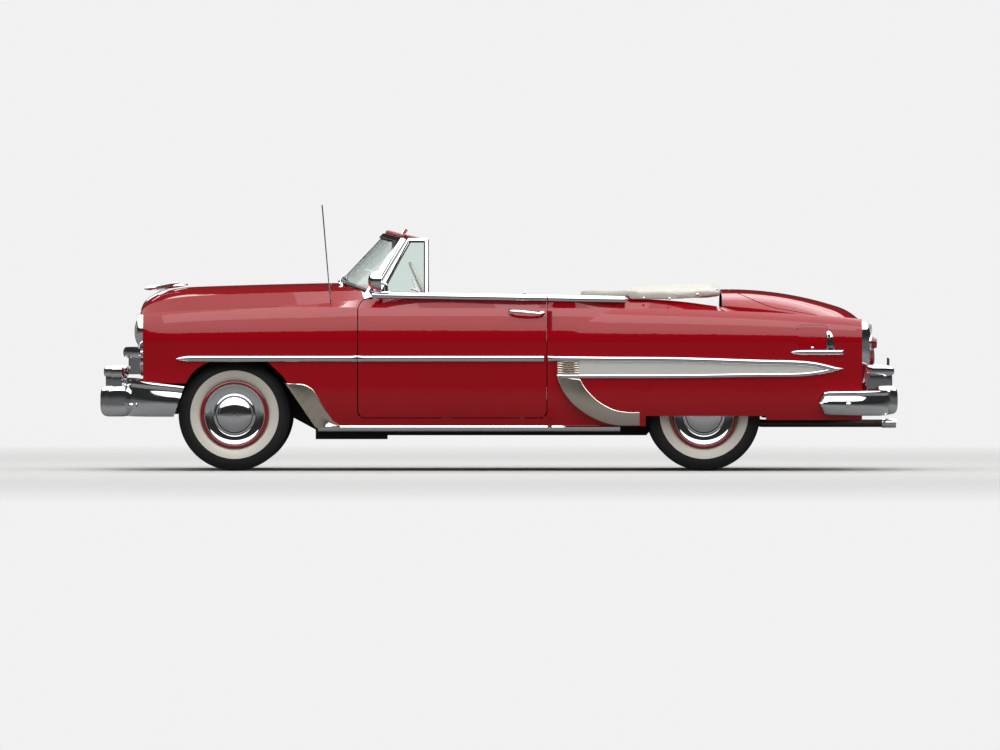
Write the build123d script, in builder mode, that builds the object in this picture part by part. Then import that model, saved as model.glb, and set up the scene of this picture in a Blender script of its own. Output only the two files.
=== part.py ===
"""A 1950s two-door convertible car with its top folded under a boot.

The frame is in millimetres. +X runs to the rear, +Y to the car's right-hand side and +Z up.
The origin is on the ground, below the middle of the overall length and width.
Most pieces are made for the right-hand side and mirrored about the XZ plane.
"""

import os

from build123d import *

os.makedirs("parts", exist_ok=True)

# Overall size of the car and the places of its wheels
overall_length = 4990
half_length = overall_length / 2
wheelbase = 2921
front_axle_x = -1646
rear_axle_x = front_axle_x + wheelbase
front_track = 1440
rear_track = 1492

# Body lines
body_half_width = 885
haunch_half_width = 932
haunch_lap = 25
shoulder_height = 1014
belt_height = 1076
side_break_height = 800
tuck_height = 520
tuck_in = 35
sill_height = 280
door_bottom = 333
door_front_x = -876
door_rear_x = 301
cowl_front_x = -1050
deck_front_x = 1390
tail_x = 2258
body_skin = 18
hood_skin = 14
door_thickness = 85
panel_gap = 6
overrun = 50
seat_gap = 0.3

# Wheels and tyres
tyre_radius = 350
tyre_width = 170
tyre_bead_radius = 196
rim_flange_radius = 210
rim_width = 140
hub_bore_radius = 16
hubcap_radius = 126
hubcap_dome = 30

# Side skin stations, front to rear. Columns: x as a share of half_length, side and crest widths as
# shares of body_half_width, crest height as a share of the rise from side_break_height to
# shoulder_height, seam width as a share of body_half_width, seam height as a share of belt_height.
side_station_shares = [
    (-0.888, 0.904, 0.831, 0.829, 0.508, 0.892),
    (-0.858, 0.958, 0.870, 0.867, 0.540, 0.906),
    (-0.762, 0.986, 0.895, 0.934, 0.605, 0.929),
    (-0.561, 0.999, 0.906, 1.019, 0.692, 0.952),
    (-0.421, 1.000, 0.911, 1.028, 0.746, 0.971),
    (-0.351, 1.000, 0.918, 1.014, 0.825, 0.989),
    (-0.260, 1.000, 0.921, 1.000, 0.887, 1.000),
    (0.121, 1.000, 0.921, 0.991, 0.887, 1.000),
    (0.321, 1.000, 0.921, 0.981, 0.870, 0.994),
    (0.521, 0.994, 0.906, 0.943, 0.811, 0.967),
    (0.601, 0.989, 0.895, 0.886, 0.730, 0.929),
    (0.762, 0.974, 0.876, 0.806, 0.720, 0.903),
    (0.905, 0.944, 0.847, 0.678, 0.720, 0.872),
]

# Haunch stations over the rear wheel. Columns: x as a share of half_length, side and crest widths
# as shares of haunch_half_width, crest height as a share of the rise above side_break_height.
haunch_station_shares = [
    (0.130, 0.952, 0.880, 0.962),
    (0.200, 0.978, 0.886, 0.967),
    (0.300, 0.996, 0.890, 0.967),
    (0.510, 1.000, 0.888, 0.934),
    (0.762, 0.975, 0.862, 0.810),
    (0.905, 0.922, 0.815, 0.673),
]

# Hood stations. Columns: x as a share of half_length, hip width as a share of body_half_width, hip
# and crown heights as shares of belt_height. The seam follows the fender's.
hood_station_shares = [
    (-0.9000, 0.430, 0.897, 0.915),
    (-0.8915, 0.446, 0.929, 0.957),
    (-0.8740, 0.475, 0.962, 1.002),
    (-0.8420, 0.508, 0.987, 1.036),
    (-0.7860, 0.554, 1.008, 1.061),
    (-0.6610, 0.610, 1.022, 1.073),
    (-0.5210, 0.658, 1.033, 1.082),
    (-0.4230, 0.678, 1.039, 1.087),
]
cowl_station_shares = [
    (-0.4208, 0.680, 1.039, 1.087),
    (-0.3510, 0.735, 1.042, 1.086),
    (-0.3166, 0.760, 1.040, 1.080),
]

# Rear deck profiles, centre to side. Columns: y as a share of deck_half_width, front, middle and
# knee heights as shares of belt_height, knee and tail places as shares of tail_x.
deck_half_width = 652
deck_mid_x = 1750
deck_bottom = 470
lid_bottom = 640
lid_front_x = 1445
lid_half_width = 628
lid_corner_radius = 330
deck_profile_shares = [
    (0.00, 1.050, 1.030, 0.950, 0.940, 1.002),
    (0.46, 1.043, 1.021, 0.943, 0.936, 0.999),
    (0.77, 1.022, 0.996, 0.920, 0.927, 0.993),
    (0.93, 0.985, 0.952, 0.892, 0.918, 0.985),
    (1.00, 0.955, 0.922, 0.874, 0.910, 0.980),
]


def smooth_value(places, values, place):
    """A smooth curve through a table's values that never swings past them."""
    gaps = [b - a for a, b in zip(places, places[1:])]
    slopes = [(b - a) / gap for a, b, gap in zip(values, values[1:], gaps)]
    bends = [slopes[0]]
    for before, after in zip(slopes, slopes[1:]):
        same_way = before * after > 0
        bends.append(2 * before * after / (before + after) if same_way else 0)
    bends.append(slopes[-1])
    i = max(k for k in range(len(gaps)) if k == 0 or places[k] <= place)
    u = (place - places[i]) / gaps[i]
    rise = (values[i + 1] - values[i]) * u * u * (3 - 2 * u)
    lead = bends[i] * gaps[i] * u * (1 - u) ** 2
    trail = bends[i + 1] * gaps[i] * u * u * (1 - u)
    return values[i] + rise + lead - trail


def even_stations(table, count, height_column=None):
    """The table's rows redrawn at even steps, along x or along the outline of one height column."""
    places = [0.0]
    for row, following in zip(table, table[1:]):
        run = (following[0] - row[0]) * half_length
        rise = 0
        if height_column is not None:
            rise = (following[height_column] - row[height_column]) * belt_height
        places.append(places[-1] + (run * run + rise * rise) ** 0.5)
    columns = list(zip(*table))
    steps = [places[-1] * k / (count - 1) for k in range(count)]
    return [tuple(smooth_value(places, column, step) for column in columns) for step in steps]


def rows_between(table, front_x, rear_x, count):
    """The table's rows redrawn at even steps of x between two places."""
    places = [row[0] * half_length for row in table]
    columns = list(zip(*table))
    steps = [front_x + (rear_x - front_x) * k / (count - 1) for k in range(count)]
    return [tuple(smooth_value(places, column, x) for column in columns) for x in steps]


def both_sides(piece):
    """A right-hand piece together with its mirror image, as one compound of solids."""
    return Compound(children=[piece, mirror(piece, about=Plane.XZ)])


def save(piece, name):
    piece.label = name
    export_step(piece, f"parts/{name}.step")


def save_pair(piece, name):
    save(piece, f"{name}_right")
    save(mirror(piece, about=Plane.XZ), f"{name}_left")


def crest_height(rise_share):
    return side_break_height + (shoulder_height - side_break_height) * rise_share


def side_skin(stations, half_width, thickness, seam_in, seam_down, seamed=True):
    """The thick wall of a body side, lofted through cross-sections from front to rear."""
    with BuildPart() as skin:
        for station in stations:
            x_share, side_share, crest_share, rise_share = station[:4]
            side = half_width * side_share
            crest = (half_width * crest_share, crest_height(rise_share))
            with BuildSketch(Plane.YZ.offset(half_length * x_share)):
                with BuildLine():
                    foot = (side - tuck_in, sill_height)
                    low = (side, tuck_height)
                    high = (side, side_break_height)
                    TangentArc(low, foot, tangent=(0, -1))
                    Line(low, high)
                    TangentArc(high, crest, tangent=(0, 1))
                    inner_crest = (crest[0] - thickness, crest[1] - seam_down)
                    if seamed:
                        seam = (half_width * station[4], belt_height * station[5])
                        inner_seam = (seam[0] - seam_in, seam[1] - seam_down)
                        Polyline(crest, seam, inner_seam, inner_crest)
                    else:
                        Line(crest, inner_crest)
                    Polyline(
                        inner_crest,
                        (side - thickness, side_break_height),
                        (side - thickness, tuck_height),
                        (foot[0] - thickness, sill_height),
                        foot,
                    )
                make_face()
        loft()
    return skin.part


def crown_points(station, depth, clearance):
    """Crown, hip and seam of a top panel's half section, depth below its face."""
    x_share, hip_w, hip_z, crown_z = station
    x = half_length * x_share
    side_row = rows_between(side_station_shares, x, x, 2)[0]
    seam = (body_half_width * side_row[4] - clearance - depth, belt_height * side_row[5])
    hip = (body_half_width * hip_w - depth, belt_height * hip_z - depth)
    return x, (0, belt_height * crown_z - depth), hip, seam


def crown_skin(stations, depth, thickness, clearance):
    """A crowned top panel's wall from depth below its face, lofted from front to rear."""
    with BuildPart() as half:
        for station in stations:
            x, crown, hip, seam = crown_points(station, depth, clearance)
            _, inner_crown, inner_hip, inner_seam = crown_points(
                station, depth + thickness, clearance
            )
            with BuildSketch(Plane.YZ.offset(x)):
                with BuildLine():
                    TangentArc(crown, hip, tangent=(1, 0))
                    Polyline(hip, seam, inner_seam, inner_hip)
                    TangentArc(inner_crown, inner_hip, tangent=(1, 0))
                    Line(inner_crown, crown)
                make_face()
        loft()
    with BuildPart() as skin:
        add(half.part)
        mirror(half.part, about=Plane.XZ)
    return skin.part


def side_prism(edge_points, arcs, inner_y, outer_y):
    """A solid extruded along Y from a closed side-view outline; arcs maps a point to its arc's middle."""
    with BuildPart() as prism:
        with BuildSketch(Plane.XZ.offset(-outer_y)):
            with BuildLine():
                for i, start in enumerate(edge_points):
                    end = edge_points[(i + 1) % len(edge_points)]
                    if i in arcs:
                        ThreePointArc(start, arcs[i], end)
                    else:
                        Line(start, end)
            make_face()
        extrude(amount=outer_y - inner_y)
    return prism.part


def block(x_range, y_range, z_range):
    """A plain block between two corners."""
    size = [high - low for low, high in (x_range, y_range, z_range)]
    with BuildPart() as box:
        with Locations([(sum(x_range) / 2, sum(y_range) / 2, sum(z_range) / 2)]):
            Box(*size)
    return box.part


def crown_fill(stations, depth, bottom, clearance):
    """The space below a crowned top panel, starting depth below its outer face."""
    with BuildPart() as half:
        for station in stations:
            x, crown, hip, seam = crown_points(station, depth, clearance)
            with BuildSketch(Plane.YZ.offset(x)):
                with BuildLine():
                    TangentArc(crown, hip, tangent=(1, 0))
                    Polyline(hip, seam, (seam[0], bottom), (0, bottom), crown)
                make_face()
        loft()
    with BuildPart() as fill:
        add(half.part)
        mirror(half.part, about=Plane.XZ)
    return fill.part


wide = haunch_half_width + overrun
high = belt_height + 10 * overrun
whole_x = (-half_length, half_length)

# Door outline. Its front edge curves back at the top to meet the windshield's pillar.
door_shoulder_z = 983
door_top_front_x = -802
door_front_curve = (-860, 1045)
door_low_corner = 45


def door_prism(grow):
    """The door's side-view outline as a solid, larger than the door by grow."""
    front, rear, low = door_front_x - grow, door_rear_x - panel_gap + grow, door_bottom - grow
    curve = (door_front_curve[0] - grow, door_front_curve[1])
    top_front = door_top_front_x - grow
    with BuildPart() as prism:
        with BuildSketch(Plane.XZ.offset(-wide)):
            with BuildLine():
                FilletPolyline(
                    (front, door_shoulder_z), (front, low), (rear, low), (rear, high),
                    radius=door_low_corner,
                )
                Polyline((rear, high), (top_front, high), (top_front, belt_height + grow))
                ThreePointArc((top_front, belt_height + grow), curve, (front, door_shoulder_z))
            make_face()
        extrude(amount=wide - body_half_width / 2)
    return prism.part


# Wheel openings. The front arch is flat on top with a sloping rear edge, and the rear one is
# the outline of the skirt that covers it.
arch_front_x = -1947
arch_front_base_z = 545
arch_front_mid = (-1885, 630)
arch_top_z = 680
arch_top_front_x = -1790
arch_top_rear_x = -1440
arch_rear_bend = (-1345, 590)
arch_foot_x = -1135
skirt_front_x = 912
skirt_rear_x = 1663
skirt_bottom_z = 343
skirt_top_z = 571
skirt_corner = 112
skirt_gap = 0.8

front_arch = side_prism(
    [
        (arch_front_x, arch_front_base_z),
        (arch_top_front_x, arch_top_z),
        (arch_top_rear_x, arch_top_z),
        arch_rear_bend,
        (arch_foot_x, sill_height),
        (arch_foot_x, 0),
        (-half_length, 0),
        (-half_length, arch_front_base_z),
    ],
    {0: arch_front_mid},
    body_half_width / 2,
    wide,
)


def skirt_prism(grow, low, inner_y):
    """The skirt's outline down to a low edge as a solid, larger than the skirt by grow."""
    front, rear, top = skirt_front_x - grow, skirt_rear_x + grow, skirt_top_z + grow
    with BuildPart() as prism:
        with BuildSketch(Plane.XZ.offset(-wide)):
            with BuildLine():
                FilletPolyline(
                    (front, low), (front, top), (rear, top), (rear, low), radius=skirt_corner
                )
                Line((rear, low), (front, low))
            make_face()
        extrude(amount=wide - inner_y)
    return prism.part


# Front fender
fender_front_x = half_length * side_station_shares[0][0]
fender_rear_x = door_front_x - panel_gap
fender_stations = rows_between(
    side_station_shares, fender_front_x, door_top_front_x - panel_gap, 9
)
with BuildPart() as front_fender:
    add(side_skin(fender_stations, body_half_width, body_skin, 0, body_skin))
    add(block((fender_rear_x, half_length), (0, wide), (0, door_shoulder_z)), mode=Mode.SUBTRACT)
    add(door_prism(panel_gap), mode=Mode.SUBTRACT)
    add(front_arch, mode=Mode.SUBTRACT)
save_pair(front_fender.part, "front_fender")

# Rear quarter with its haunch, rocker, wheel opening and closed tail end
haunch_start_x = 352
haunch_foot_x = 750
haunch_peak_x = 1000
haunch_lower_mid = (455, 420)
haunch_upper_mid = (478, 872)
haunch_low_z = 600
haunch_high_z = 709
haunch_depth = haunch_half_width - body_half_width + haunch_lap
quarter_rear_bottom_z = 317
rocker_inner_y = 760
rocker_outer_y = 845
rocker_bottom_z = 284
floor_z = 318
tail_plate = 20
door_inner_y = body_half_width - door_thickness
jamb_depth = 28
jamb_lip = 18
haunch_slab = side_skin(
    even_stations(haunch_station_shares, 6), haunch_half_width, haunch_depth, 0, 0, seamed=False
)
haunch_outline = side_prism(
    [
        (haunch_foot_x, 0),
        (haunch_foot_x, sill_height),
        (haunch_start_x, haunch_low_z),
        (haunch_start_x, haunch_high_z),
        (haunch_peak_x, shoulder_height),
        (half_length, shoulder_height),
        (half_length, 0),
    ],
    {1: haunch_lower_mid, 3: haunch_upper_mid},
    body_half_width / 2,
    wide,
)
with BuildPart() as haunch:
    add(haunch_slab)
    add(haunch_outline, mode=Mode.INTERSECT)
rear_row = side_station_shares[-1]
tail_side_y = body_half_width * rear_row[1] - body_skin / 2
tail_crest_y = body_half_width * rear_row[2] - body_skin / 2
tail_crest_z = crest_height(rear_row[3]) - body_skin / 2
with BuildPart() as tail_end:
    with BuildSketch(Plane.YZ.offset(tail_x - tail_plate)):
        with BuildLine():
            Polyline(
                (deck_half_width, quarter_rear_bottom_z),
                (tail_side_y - tuck_in, quarter_rear_bottom_z),
                (tail_side_y, tuck_height),
                (tail_side_y, side_break_height),
                (tail_crest_y, tail_crest_z),
                (deck_half_width, tail_crest_z - body_skin / 2),
                close=True,
            )
        make_face()
    extrude(amount=tail_plate)
quarter_stations = rows_between(side_station_shares, door_rear_x, tail_x, 8)
rocker_stations = rows_between(side_station_shares, fender_rear_x, door_rear_x, 2)
with BuildPart() as rocker:
    add(side_skin(rocker_stations, body_half_width, body_skin, 0, body_skin))
    add(block(whole_x, (0, wide), (door_shoulder_z / 2, high)), mode=Mode.SUBTRACT)
    add(door_prism(panel_gap), mode=Mode.SUBTRACT)
with BuildPart() as quarter:
    add(side_skin(quarter_stations, body_half_width, body_skin, 0, body_skin))
    add(rocker.part)
    add(block((deck_front_x, half_length), (0, deck_half_width), (0, high)), mode=Mode.SUBTRACT)
    add(haunch.part)
    add(skirt_prism(skirt_gap, 0, body_half_width / 2), mode=Mode.SUBTRACT)
    add(
        block((skirt_rear_x, half_length), (0, wide), (0, quarter_rear_bottom_z)),
        mode=Mode.SUBTRACT,
    )
    add(
        block(
            (fender_rear_x, haunch_foot_x),
            (rocker_inner_y, rocker_outer_y),
            (rocker_bottom_z, floor_z),
        )
    )
    add(tail_end.part)
    add(
        block(
            (door_rear_x, door_rear_x + jamb_depth),
            (door_inner_y - jamb_lip, body_half_width - body_skin / 2),
            (door_bottom, shoulder_height - jamb_lip),
        )
    )
    add(
        block(
            (door_rear_x - jamb_depth, door_rear_x),
            (door_inner_y - jamb_lip, door_inner_y - seat_gap),
            (tuck_height, side_break_height),
        )
    )
save_pair(quarter.part, "rear_quarter")

skirt_thickness = 42
with BuildPart() as skirt:
    add(haunch.part)
    add(
        skirt_prism(0, skirt_bottom_z, haunch_half_width - skirt_thickness - tuck_in),
        mode=Mode.INTERSECT,
    )
save(both_sides(skirt.part), "fender_skirts")

# Door
door_stations = rows_between(side_station_shares, door_front_x, door_rear_x - panel_gap, 4)
door_wall = side_skin(door_stations, body_half_width, door_thickness, door_thickness, 0)
with BuildPart() as door:
    add(door_wall)
    add(door_prism(0), mode=Mode.INTERSECT)
save_pair(door.part, "door")

# Hood and cowl. The cowl carries a lip that the hood's rear edge rests over.
lip_thickness = 6
lip_reach = 24
save(crown_skin(even_stations(hood_station_shares, 12, 3), 0, hood_skin, panel_gap), "hood")

rebate = hood_skin + 3 * seat_gap
cowl_clearance = 1.5
cowl_lip_half_width = 560
cowl_rear_x = half_length * cowl_station_shares[-1][0]
cowl_lip_x = cowl_front_x - lip_reach
cowl_stations = rows_between(cowl_station_shares, cowl_lip_x, cowl_rear_x, 4)
rebate_stations = rows_between(cowl_station_shares, cowl_lip_x - overrun, cowl_front_x, 2)
with BuildPart() as cowl:
    add(crown_skin(cowl_stations, 0, rebate + lip_thickness, cowl_clearance))
    add(
        crown_skin(rebate_stations, -overrun, overrun + rebate, -overrun),
        mode=Mode.SUBTRACT,
    )
    for side in (-1, 1):
        near, far = sorted((side * cowl_lip_half_width, side * wide))
        add(block((cowl_lip_x, cowl_front_x), (near, far), (0, high)), mode=Mode.SUBTRACT)
    add(door_prism(panel_gap), mode=Mode.SUBTRACT)
    add(mirror(door_prism(panel_gap), about=Plane.XZ), mode=Mode.SUBTRACT)
save(cowl.part, "cowl")


def deck_skin(depth, thickness):
    """A wall of the rear deck from depth below its face, lofted across through side profiles."""
    rows = deck_profile_shares[:0:-1] + deck_profile_shares
    with BuildPart() as skin:
        for i, (y_share, front_z, mid_z, knee_z, knee_x, foot_x) in enumerate(rows):
            side = -1 if i < len(deck_profile_shares) - 1 else 1
            with BuildSketch(Plane.XZ.offset(-side * deck_half_width * y_share)):
                with BuildLine():
                    ends = []
                    for inset in (depth, depth + thickness):
                        front = (deck_front_x, belt_height * front_z - inset)
                        middle = (deck_mid_x, belt_height * mid_z - inset)
                        knee = (tail_x * knee_x - inset, belt_height * knee_z - inset)
                        foot = (tail_x * foot_x - inset, deck_bottom)
                        top = ThreePointArc(front, middle, knee)
                        TangentArc(knee, foot, tangent=top % 1)
                        ends.append((front, foot))
                    Line(ends[0][0], ends[1][0])
                    Line(ends[0][1], ends[1][1])
                make_face()
        loft()
    return skin.part


def lid_prism(grow):
    """The trunk lid's plan outline as a tall solid, larger than the lid by grow."""
    front, side = lid_front_x - grow, lid_half_width + grow
    with BuildPart() as prism:
        with BuildSketch(Plane.XY.offset(lid_bottom - grow)):
            with BuildLine():
                FilletPolyline(
                    (half_length, -side), (front, -side), (front, side), (half_length, side),
                    radius=lid_corner_radius,
                )
                Line((half_length, side), (half_length, -side))
            make_face()
        extrude(amount=high - lid_bottom)
    return prism.part


with BuildPart() as trunk_lid:
    add(deck_skin(0, hood_skin))
    add(lid_prism(0), mode=Mode.INTERSECT)
save(trunk_lid.part, "trunk_lid")

with BuildPart() as deck_rebate:
    add(deck_skin(-lip_thickness, rebate + lip_thickness))
    add(lid_prism(panel_gap), mode=Mode.INTERSECT)
with BuildPart() as rear_deck:
    add(deck_skin(0, rebate + lip_thickness))
    add(deck_rebate.part, mode=Mode.SUBTRACT)
    add(lid_prism(-lip_reach), mode=Mode.SUBTRACT)
save(rear_deck.part, "rear_deck")

dash_half_width = 632

# Windshield. Its curved shell runs between a base curve and a top curve, each given by its place
# at the middle of the car and its sweep back and down at the pillar.
screen_base_x = -1008
screen_base_z = 1163
screen_base_half = 735
screen_base_sweep = 202
screen_base_drop = 68
screen_top_x = -709
screen_top_z = 1481
screen_top_half = 640
screen_top_sweep = 112
screen_top_drop = 31
screen_frame_depth = 30
screen_bar = 26
glass_thickness = 6
screen_across_shares = [-1, -0.8, -0.5, -0.2, 0.2, 0.5, 0.8, 1]


def screen_shell(thickness):
    """The windshield's shell, lofted across the car and running past its base."""
    reach = screen_base_half + 2 * screen_bar
    with BuildPart() as shell:
        for share in screen_across_shares:
            y = reach * share
            base_part = (y / screen_base_half) ** 2
            top_part = (y / screen_top_half) ** 2
            base = Vector(
                screen_base_x + screen_base_sweep * base_part,
                screen_base_z - screen_base_drop * base_part,
            )
            top = Vector(
                screen_top_x + screen_top_sweep * top_part,
                screen_top_z - screen_top_drop * top_part,
            )
            along = (top - base).normalized()
            across = Vector(-along.Y, along.X) * (thickness / 2)
            low = base - along * (2 * screen_bar)
            corners = [low + across, top + across, top - across, low - across]
            with BuildSketch(Plane.XZ.offset(-y)):
                with BuildLine():
                    Polyline(*[(corner.X, corner.Y) for corner in corners], close=True)
                make_face()
        loft()
    return shell.part


def screen_outline(inset):
    """The windshield's front-view outline as a solid, inset from its outer edge."""
    slope = (screen_base_half - screen_top_half) / (screen_top_z - screen_base_z + screen_base_drop)
    base_z = screen_base_z - screen_base_drop
    low = base_z - 2 * screen_bar if inset == 0 else base_z + inset / 2
    low_half = screen_base_half - (low - base_z) * slope - inset
    low_mid = low + screen_base_drop
    top = screen_top_z - screen_top_drop - inset
    top_half = screen_base_half - (top - base_z) * slope - inset
    with BuildPart() as prism:
        with BuildSketch(Plane.YZ.offset(-half_length / 2)):
            with BuildLine():
                ThreePointArc((-low_half, low), (0, low_mid), (low_half, low))
                Line((low_half, low), (top_half, top))
                ThreePointArc((top_half, top), (0, screen_top_z - inset), (-top_half, top))
                Line((-top_half, top), (-low_half, low))
            make_face()
        extrude(amount=half_length / 2)
    return prism.part


cowl_cover = crown_fill(cowl_stations, -seat_gap, shoulder_height, 0)
with BuildPart() as windshield_frame:
    add(screen_shell(screen_frame_depth))
    add(screen_outline(0), mode=Mode.INTERSECT)
    add(screen_outline(screen_bar), mode=Mode.SUBTRACT)
    add(cowl_cover, mode=Mode.SUBTRACT)
    for side in (-1, 1):
        near, far = sorted((side * dash_half_width, side * wide))
        add(
            block((door_top_front_x - panel_gap, 0), (near, far), (0, belt_height + panel_gap)),
            mode=Mode.SUBTRACT,
        )
save(windshield_frame.part.solids().sort_by(SortBy.VOLUME)[-1], "windshield_frame")
with BuildPart() as windshield_glass:
    add(screen_shell(glass_thickness))
    add(screen_outline(screen_bar), mode=Mode.INTERSECT)
    add(cowl_cover, mode=Mode.SUBTRACT)
save(windshield_glass.part, "windshield_glass")

# Vent windows on the doors, in planes that lean in with the pillars
vent_front_base_x = -776
vent_front_top_x = -566
vent_post_x = -444
vent_base_y = 728
vent_top_y = 636
vent_top_z = 1446
vent_bar = 18
vent_lift = 2
vent_thickness = 14
vent_rise = Vector(0, vent_top_y - vent_base_y, vent_top_z - belt_height)
vent_plane = Plane(
    origin=(0, vent_base_y, belt_height + vent_lift),
    x_dir=(1, 0, 0),
    z_dir=Vector(1, 0, 0).cross(vent_rise).normalized(),
)
vent_height = vent_rise.length
with BuildPart() as vent_frame:
    with BuildSketch(vent_plane):
        with BuildLine() as vent_line:
            Polyline(
                (vent_front_base_x, 0),
                (vent_front_top_x, vent_height),
                (vent_post_x, vent_height),
                (vent_post_x, 0),
                close=True,
            )
        make_face()
        offset(amount=-vent_bar, kind=Kind.INTERSECTION, mode=Mode.SUBTRACT)
    extrude(amount=vent_thickness / 2, both=True)
save_pair(vent_frame.part, "vent_frame")
with BuildPart() as vent_glass:
    with BuildSketch(vent_plane):
        with BuildLine():
            Polyline(
                (vent_front_base_x, 0),
                (vent_front_top_x, vent_height),
                (vent_post_x, vent_height),
                (vent_post_x, 0),
                close=True,
            )
        make_face()
        offset(amount=-vent_bar, kind=Kind.INTERSECTION)
    extrude(amount=glass_thickness / 2, both=True)
save_pair(vent_glass.part, "vent_glass")

# Ladder frame: two rails that rise over the axles, with crossmembers
rail_inner_y = 370
rail_outer_y = 430
rail_bottom_z = 218
rail_front_x = -2180
rail_rear_x = 2200
rail_front_top_z = 470
rail_front_bottom_z = 380
rail_rear_top_z = 520
rail_rear_bottom_z = 440
front_drop_x = -1330
front_low_x = -1080
rear_rise_x = 870
rear_high_x = 1060
crossmember_width = 70
crossmember_height = 60
low_member_height = 34
low_member_x = -675
rail_outline = [
    (rail_front_x, rail_front_bottom_z),
    (front_drop_x - overrun, rail_front_bottom_z),
    (front_low_x, rail_bottom_z),
    (rear_rise_x + overrun, rail_bottom_z),
    (rear_high_x + overrun, rail_rear_bottom_z),
    (rail_rear_x, rail_rear_bottom_z),
    (rail_rear_x, rail_rear_top_z),
    (rear_high_x, rail_rear_top_z),
    (rear_rise_x, floor_z),
    (front_low_x + overrun, floor_z),
    (front_drop_x, rail_front_top_z),
    (rail_front_x, rail_front_top_z),
]
rail = side_prism(rail_outline, {}, rail_inner_y, rail_outer_y)
# Columns: crossmember place, bottom and top heights
crossmembers = [
    (rail_front_x, rail_front_bottom_z, rail_front_bottom_z + crossmember_height),
    (low_member_x, rail_bottom_z, rail_bottom_z + low_member_height),
    (rear_rise_x - 2 * crossmember_width, rail_bottom_z, rail_bottom_z + low_member_height),
    (rail_rear_x - crossmember_width, rail_rear_bottom_z, rail_rear_top_z),
]
with BuildPart() as frame:
    add(rail)
    mirror(rail, about=Plane.XZ)
    for x, low_z, high_z in crossmembers:
        add(block((x, x + crossmember_width), (-rail_outer_y, rail_outer_y), (low_z, high_z)))
save(frame.part, "frame")

# Engine with its gearbox, and the radiator ahead of it
engine_front_x = -1930
engine_rear_x = -1150
gearbox_rear_x = -700
engine_half_width = 215
engine_bottom_z = 330
engine_top_z = 900
gearbox_half_width = 95
gearbox_bottom_z = 190
gearbox_top_z = 400
radiator_front_x = -2160
radiator_depth = 60
radiator_half_width = 345
radiator_top_z = 900
with BuildPart() as engine:
    add(
        block(
            (engine_front_x, engine_rear_x),
            (-engine_half_width, engine_half_width),
            (engine_bottom_z, engine_top_z),
        )
    )
    add(
        block(
            (engine_rear_x, gearbox_rear_x),
            (-gearbox_half_width, gearbox_half_width),
            (gearbox_bottom_z, gearbox_top_z),
        )
    )
save(engine.part, "engine")
with BuildPart() as radiator:
    add(
        block(
            (radiator_front_x, radiator_front_x + radiator_depth),
            (-radiator_half_width, radiator_half_width),
            (rail_front_bottom_z + crossmember_height, radiator_top_z),
        )
    )
save(radiator.part, "radiator")

# Front suspension: a crossmember, spring towers and two arms a side with the kingpin between
axle_z = tyre_radius
kingpin_y = 620
kingpin_radius = 22
upright_low_z = 290
upright_high_z = 430
arm_width = 108
arm_tip_radius = 24
lower_arm_height = 28
upper_arm_height = 25
tower_radius = 52
tower_y = 515
with BuildPart() as front_suspension:
    add(
        block(
            (front_axle_x - arm_width / 2, front_axle_x + arm_width / 2),
            (-rail_outer_y, rail_outer_y),
            (upright_low_z - crossmember_height, engine_bottom_z),
        )
    )
    for side in (-1, 1):
        with Locations((front_axle_x, side * tower_y, upright_low_z - lower_arm_height)):
            Cylinder(
                tower_radius,
                upright_high_z + upper_arm_height - upright_low_z + lower_arm_height,
                align=(Align.CENTER, Align.CENTER, Align.MIN),
            )
        for z, height in (
            (upright_low_z - lower_arm_height, lower_arm_height),
            (upright_high_z, upper_arm_height),
        ):
            with BuildSketch(Plane.XY.offset(z)):
                with BuildLine():
                    tip = side * kingpin_y
                    root = side * rail_outer_y
                    Polyline(
                        (front_axle_x - arm_tip_radius, tip),
                        (front_axle_x - arm_width / 2, root),
                        (front_axle_x + arm_width / 2, root),
                        (front_axle_x + arm_tip_radius, tip),
                        close=True,
                    )
                make_face()
                with Locations((front_axle_x, tip)):
                    Circle(arm_tip_radius)
            extrude(amount=height)
save(front_suspension.part, "front_suspension")

# Inner fenders: an apron on each rail, a shelf out to the fender and a wall behind the wheel
apron_inner_y = 426
apron_thickness = 6
apron_front_x = -2115
apron_rear_x = -1092
shelf_z = 895
shelf_outer_y = 768
with BuildPart() as inner_fender:
    apron_outer_y = apron_inner_y + apron_thickness
    add(
        block(
            (apron_front_x, apron_rear_x),
            (apron_inner_y, apron_outer_y),
            (rail_front_top_z + seat_gap, shelf_z + apron_thickness),
        )
    )
    add(
        block(
            (apron_front_x, apron_rear_x),
            (apron_inner_y, shelf_outer_y),
            (shelf_z, shelf_z + apron_thickness),
        )
    )
    for x in (apron_front_x, apron_rear_x - apron_thickness):
        add(
            block(
                (x, x + apron_thickness),
                (apron_inner_y, shelf_outer_y),
                (rail_front_top_z + seat_gap, shelf_z + apron_thickness),
            )
        )
save(both_sides(inner_fender.part), "inner_fenders")

# Wheels and tyres, revolved about their axle
wheel_clearance = 0.3
tyre_half = tyre_width / 2
tread_half_share = 0.80
shoulder_radius = tyre_radius - 9
wall_radius = 276
drum_radius = 142
drum_depth = 62
drum_wall = 8
disc_set_out = 58
rim_wall = 7
stub_radius = hub_bore_radius - wheel_clearance
stub_length = 100


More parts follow.
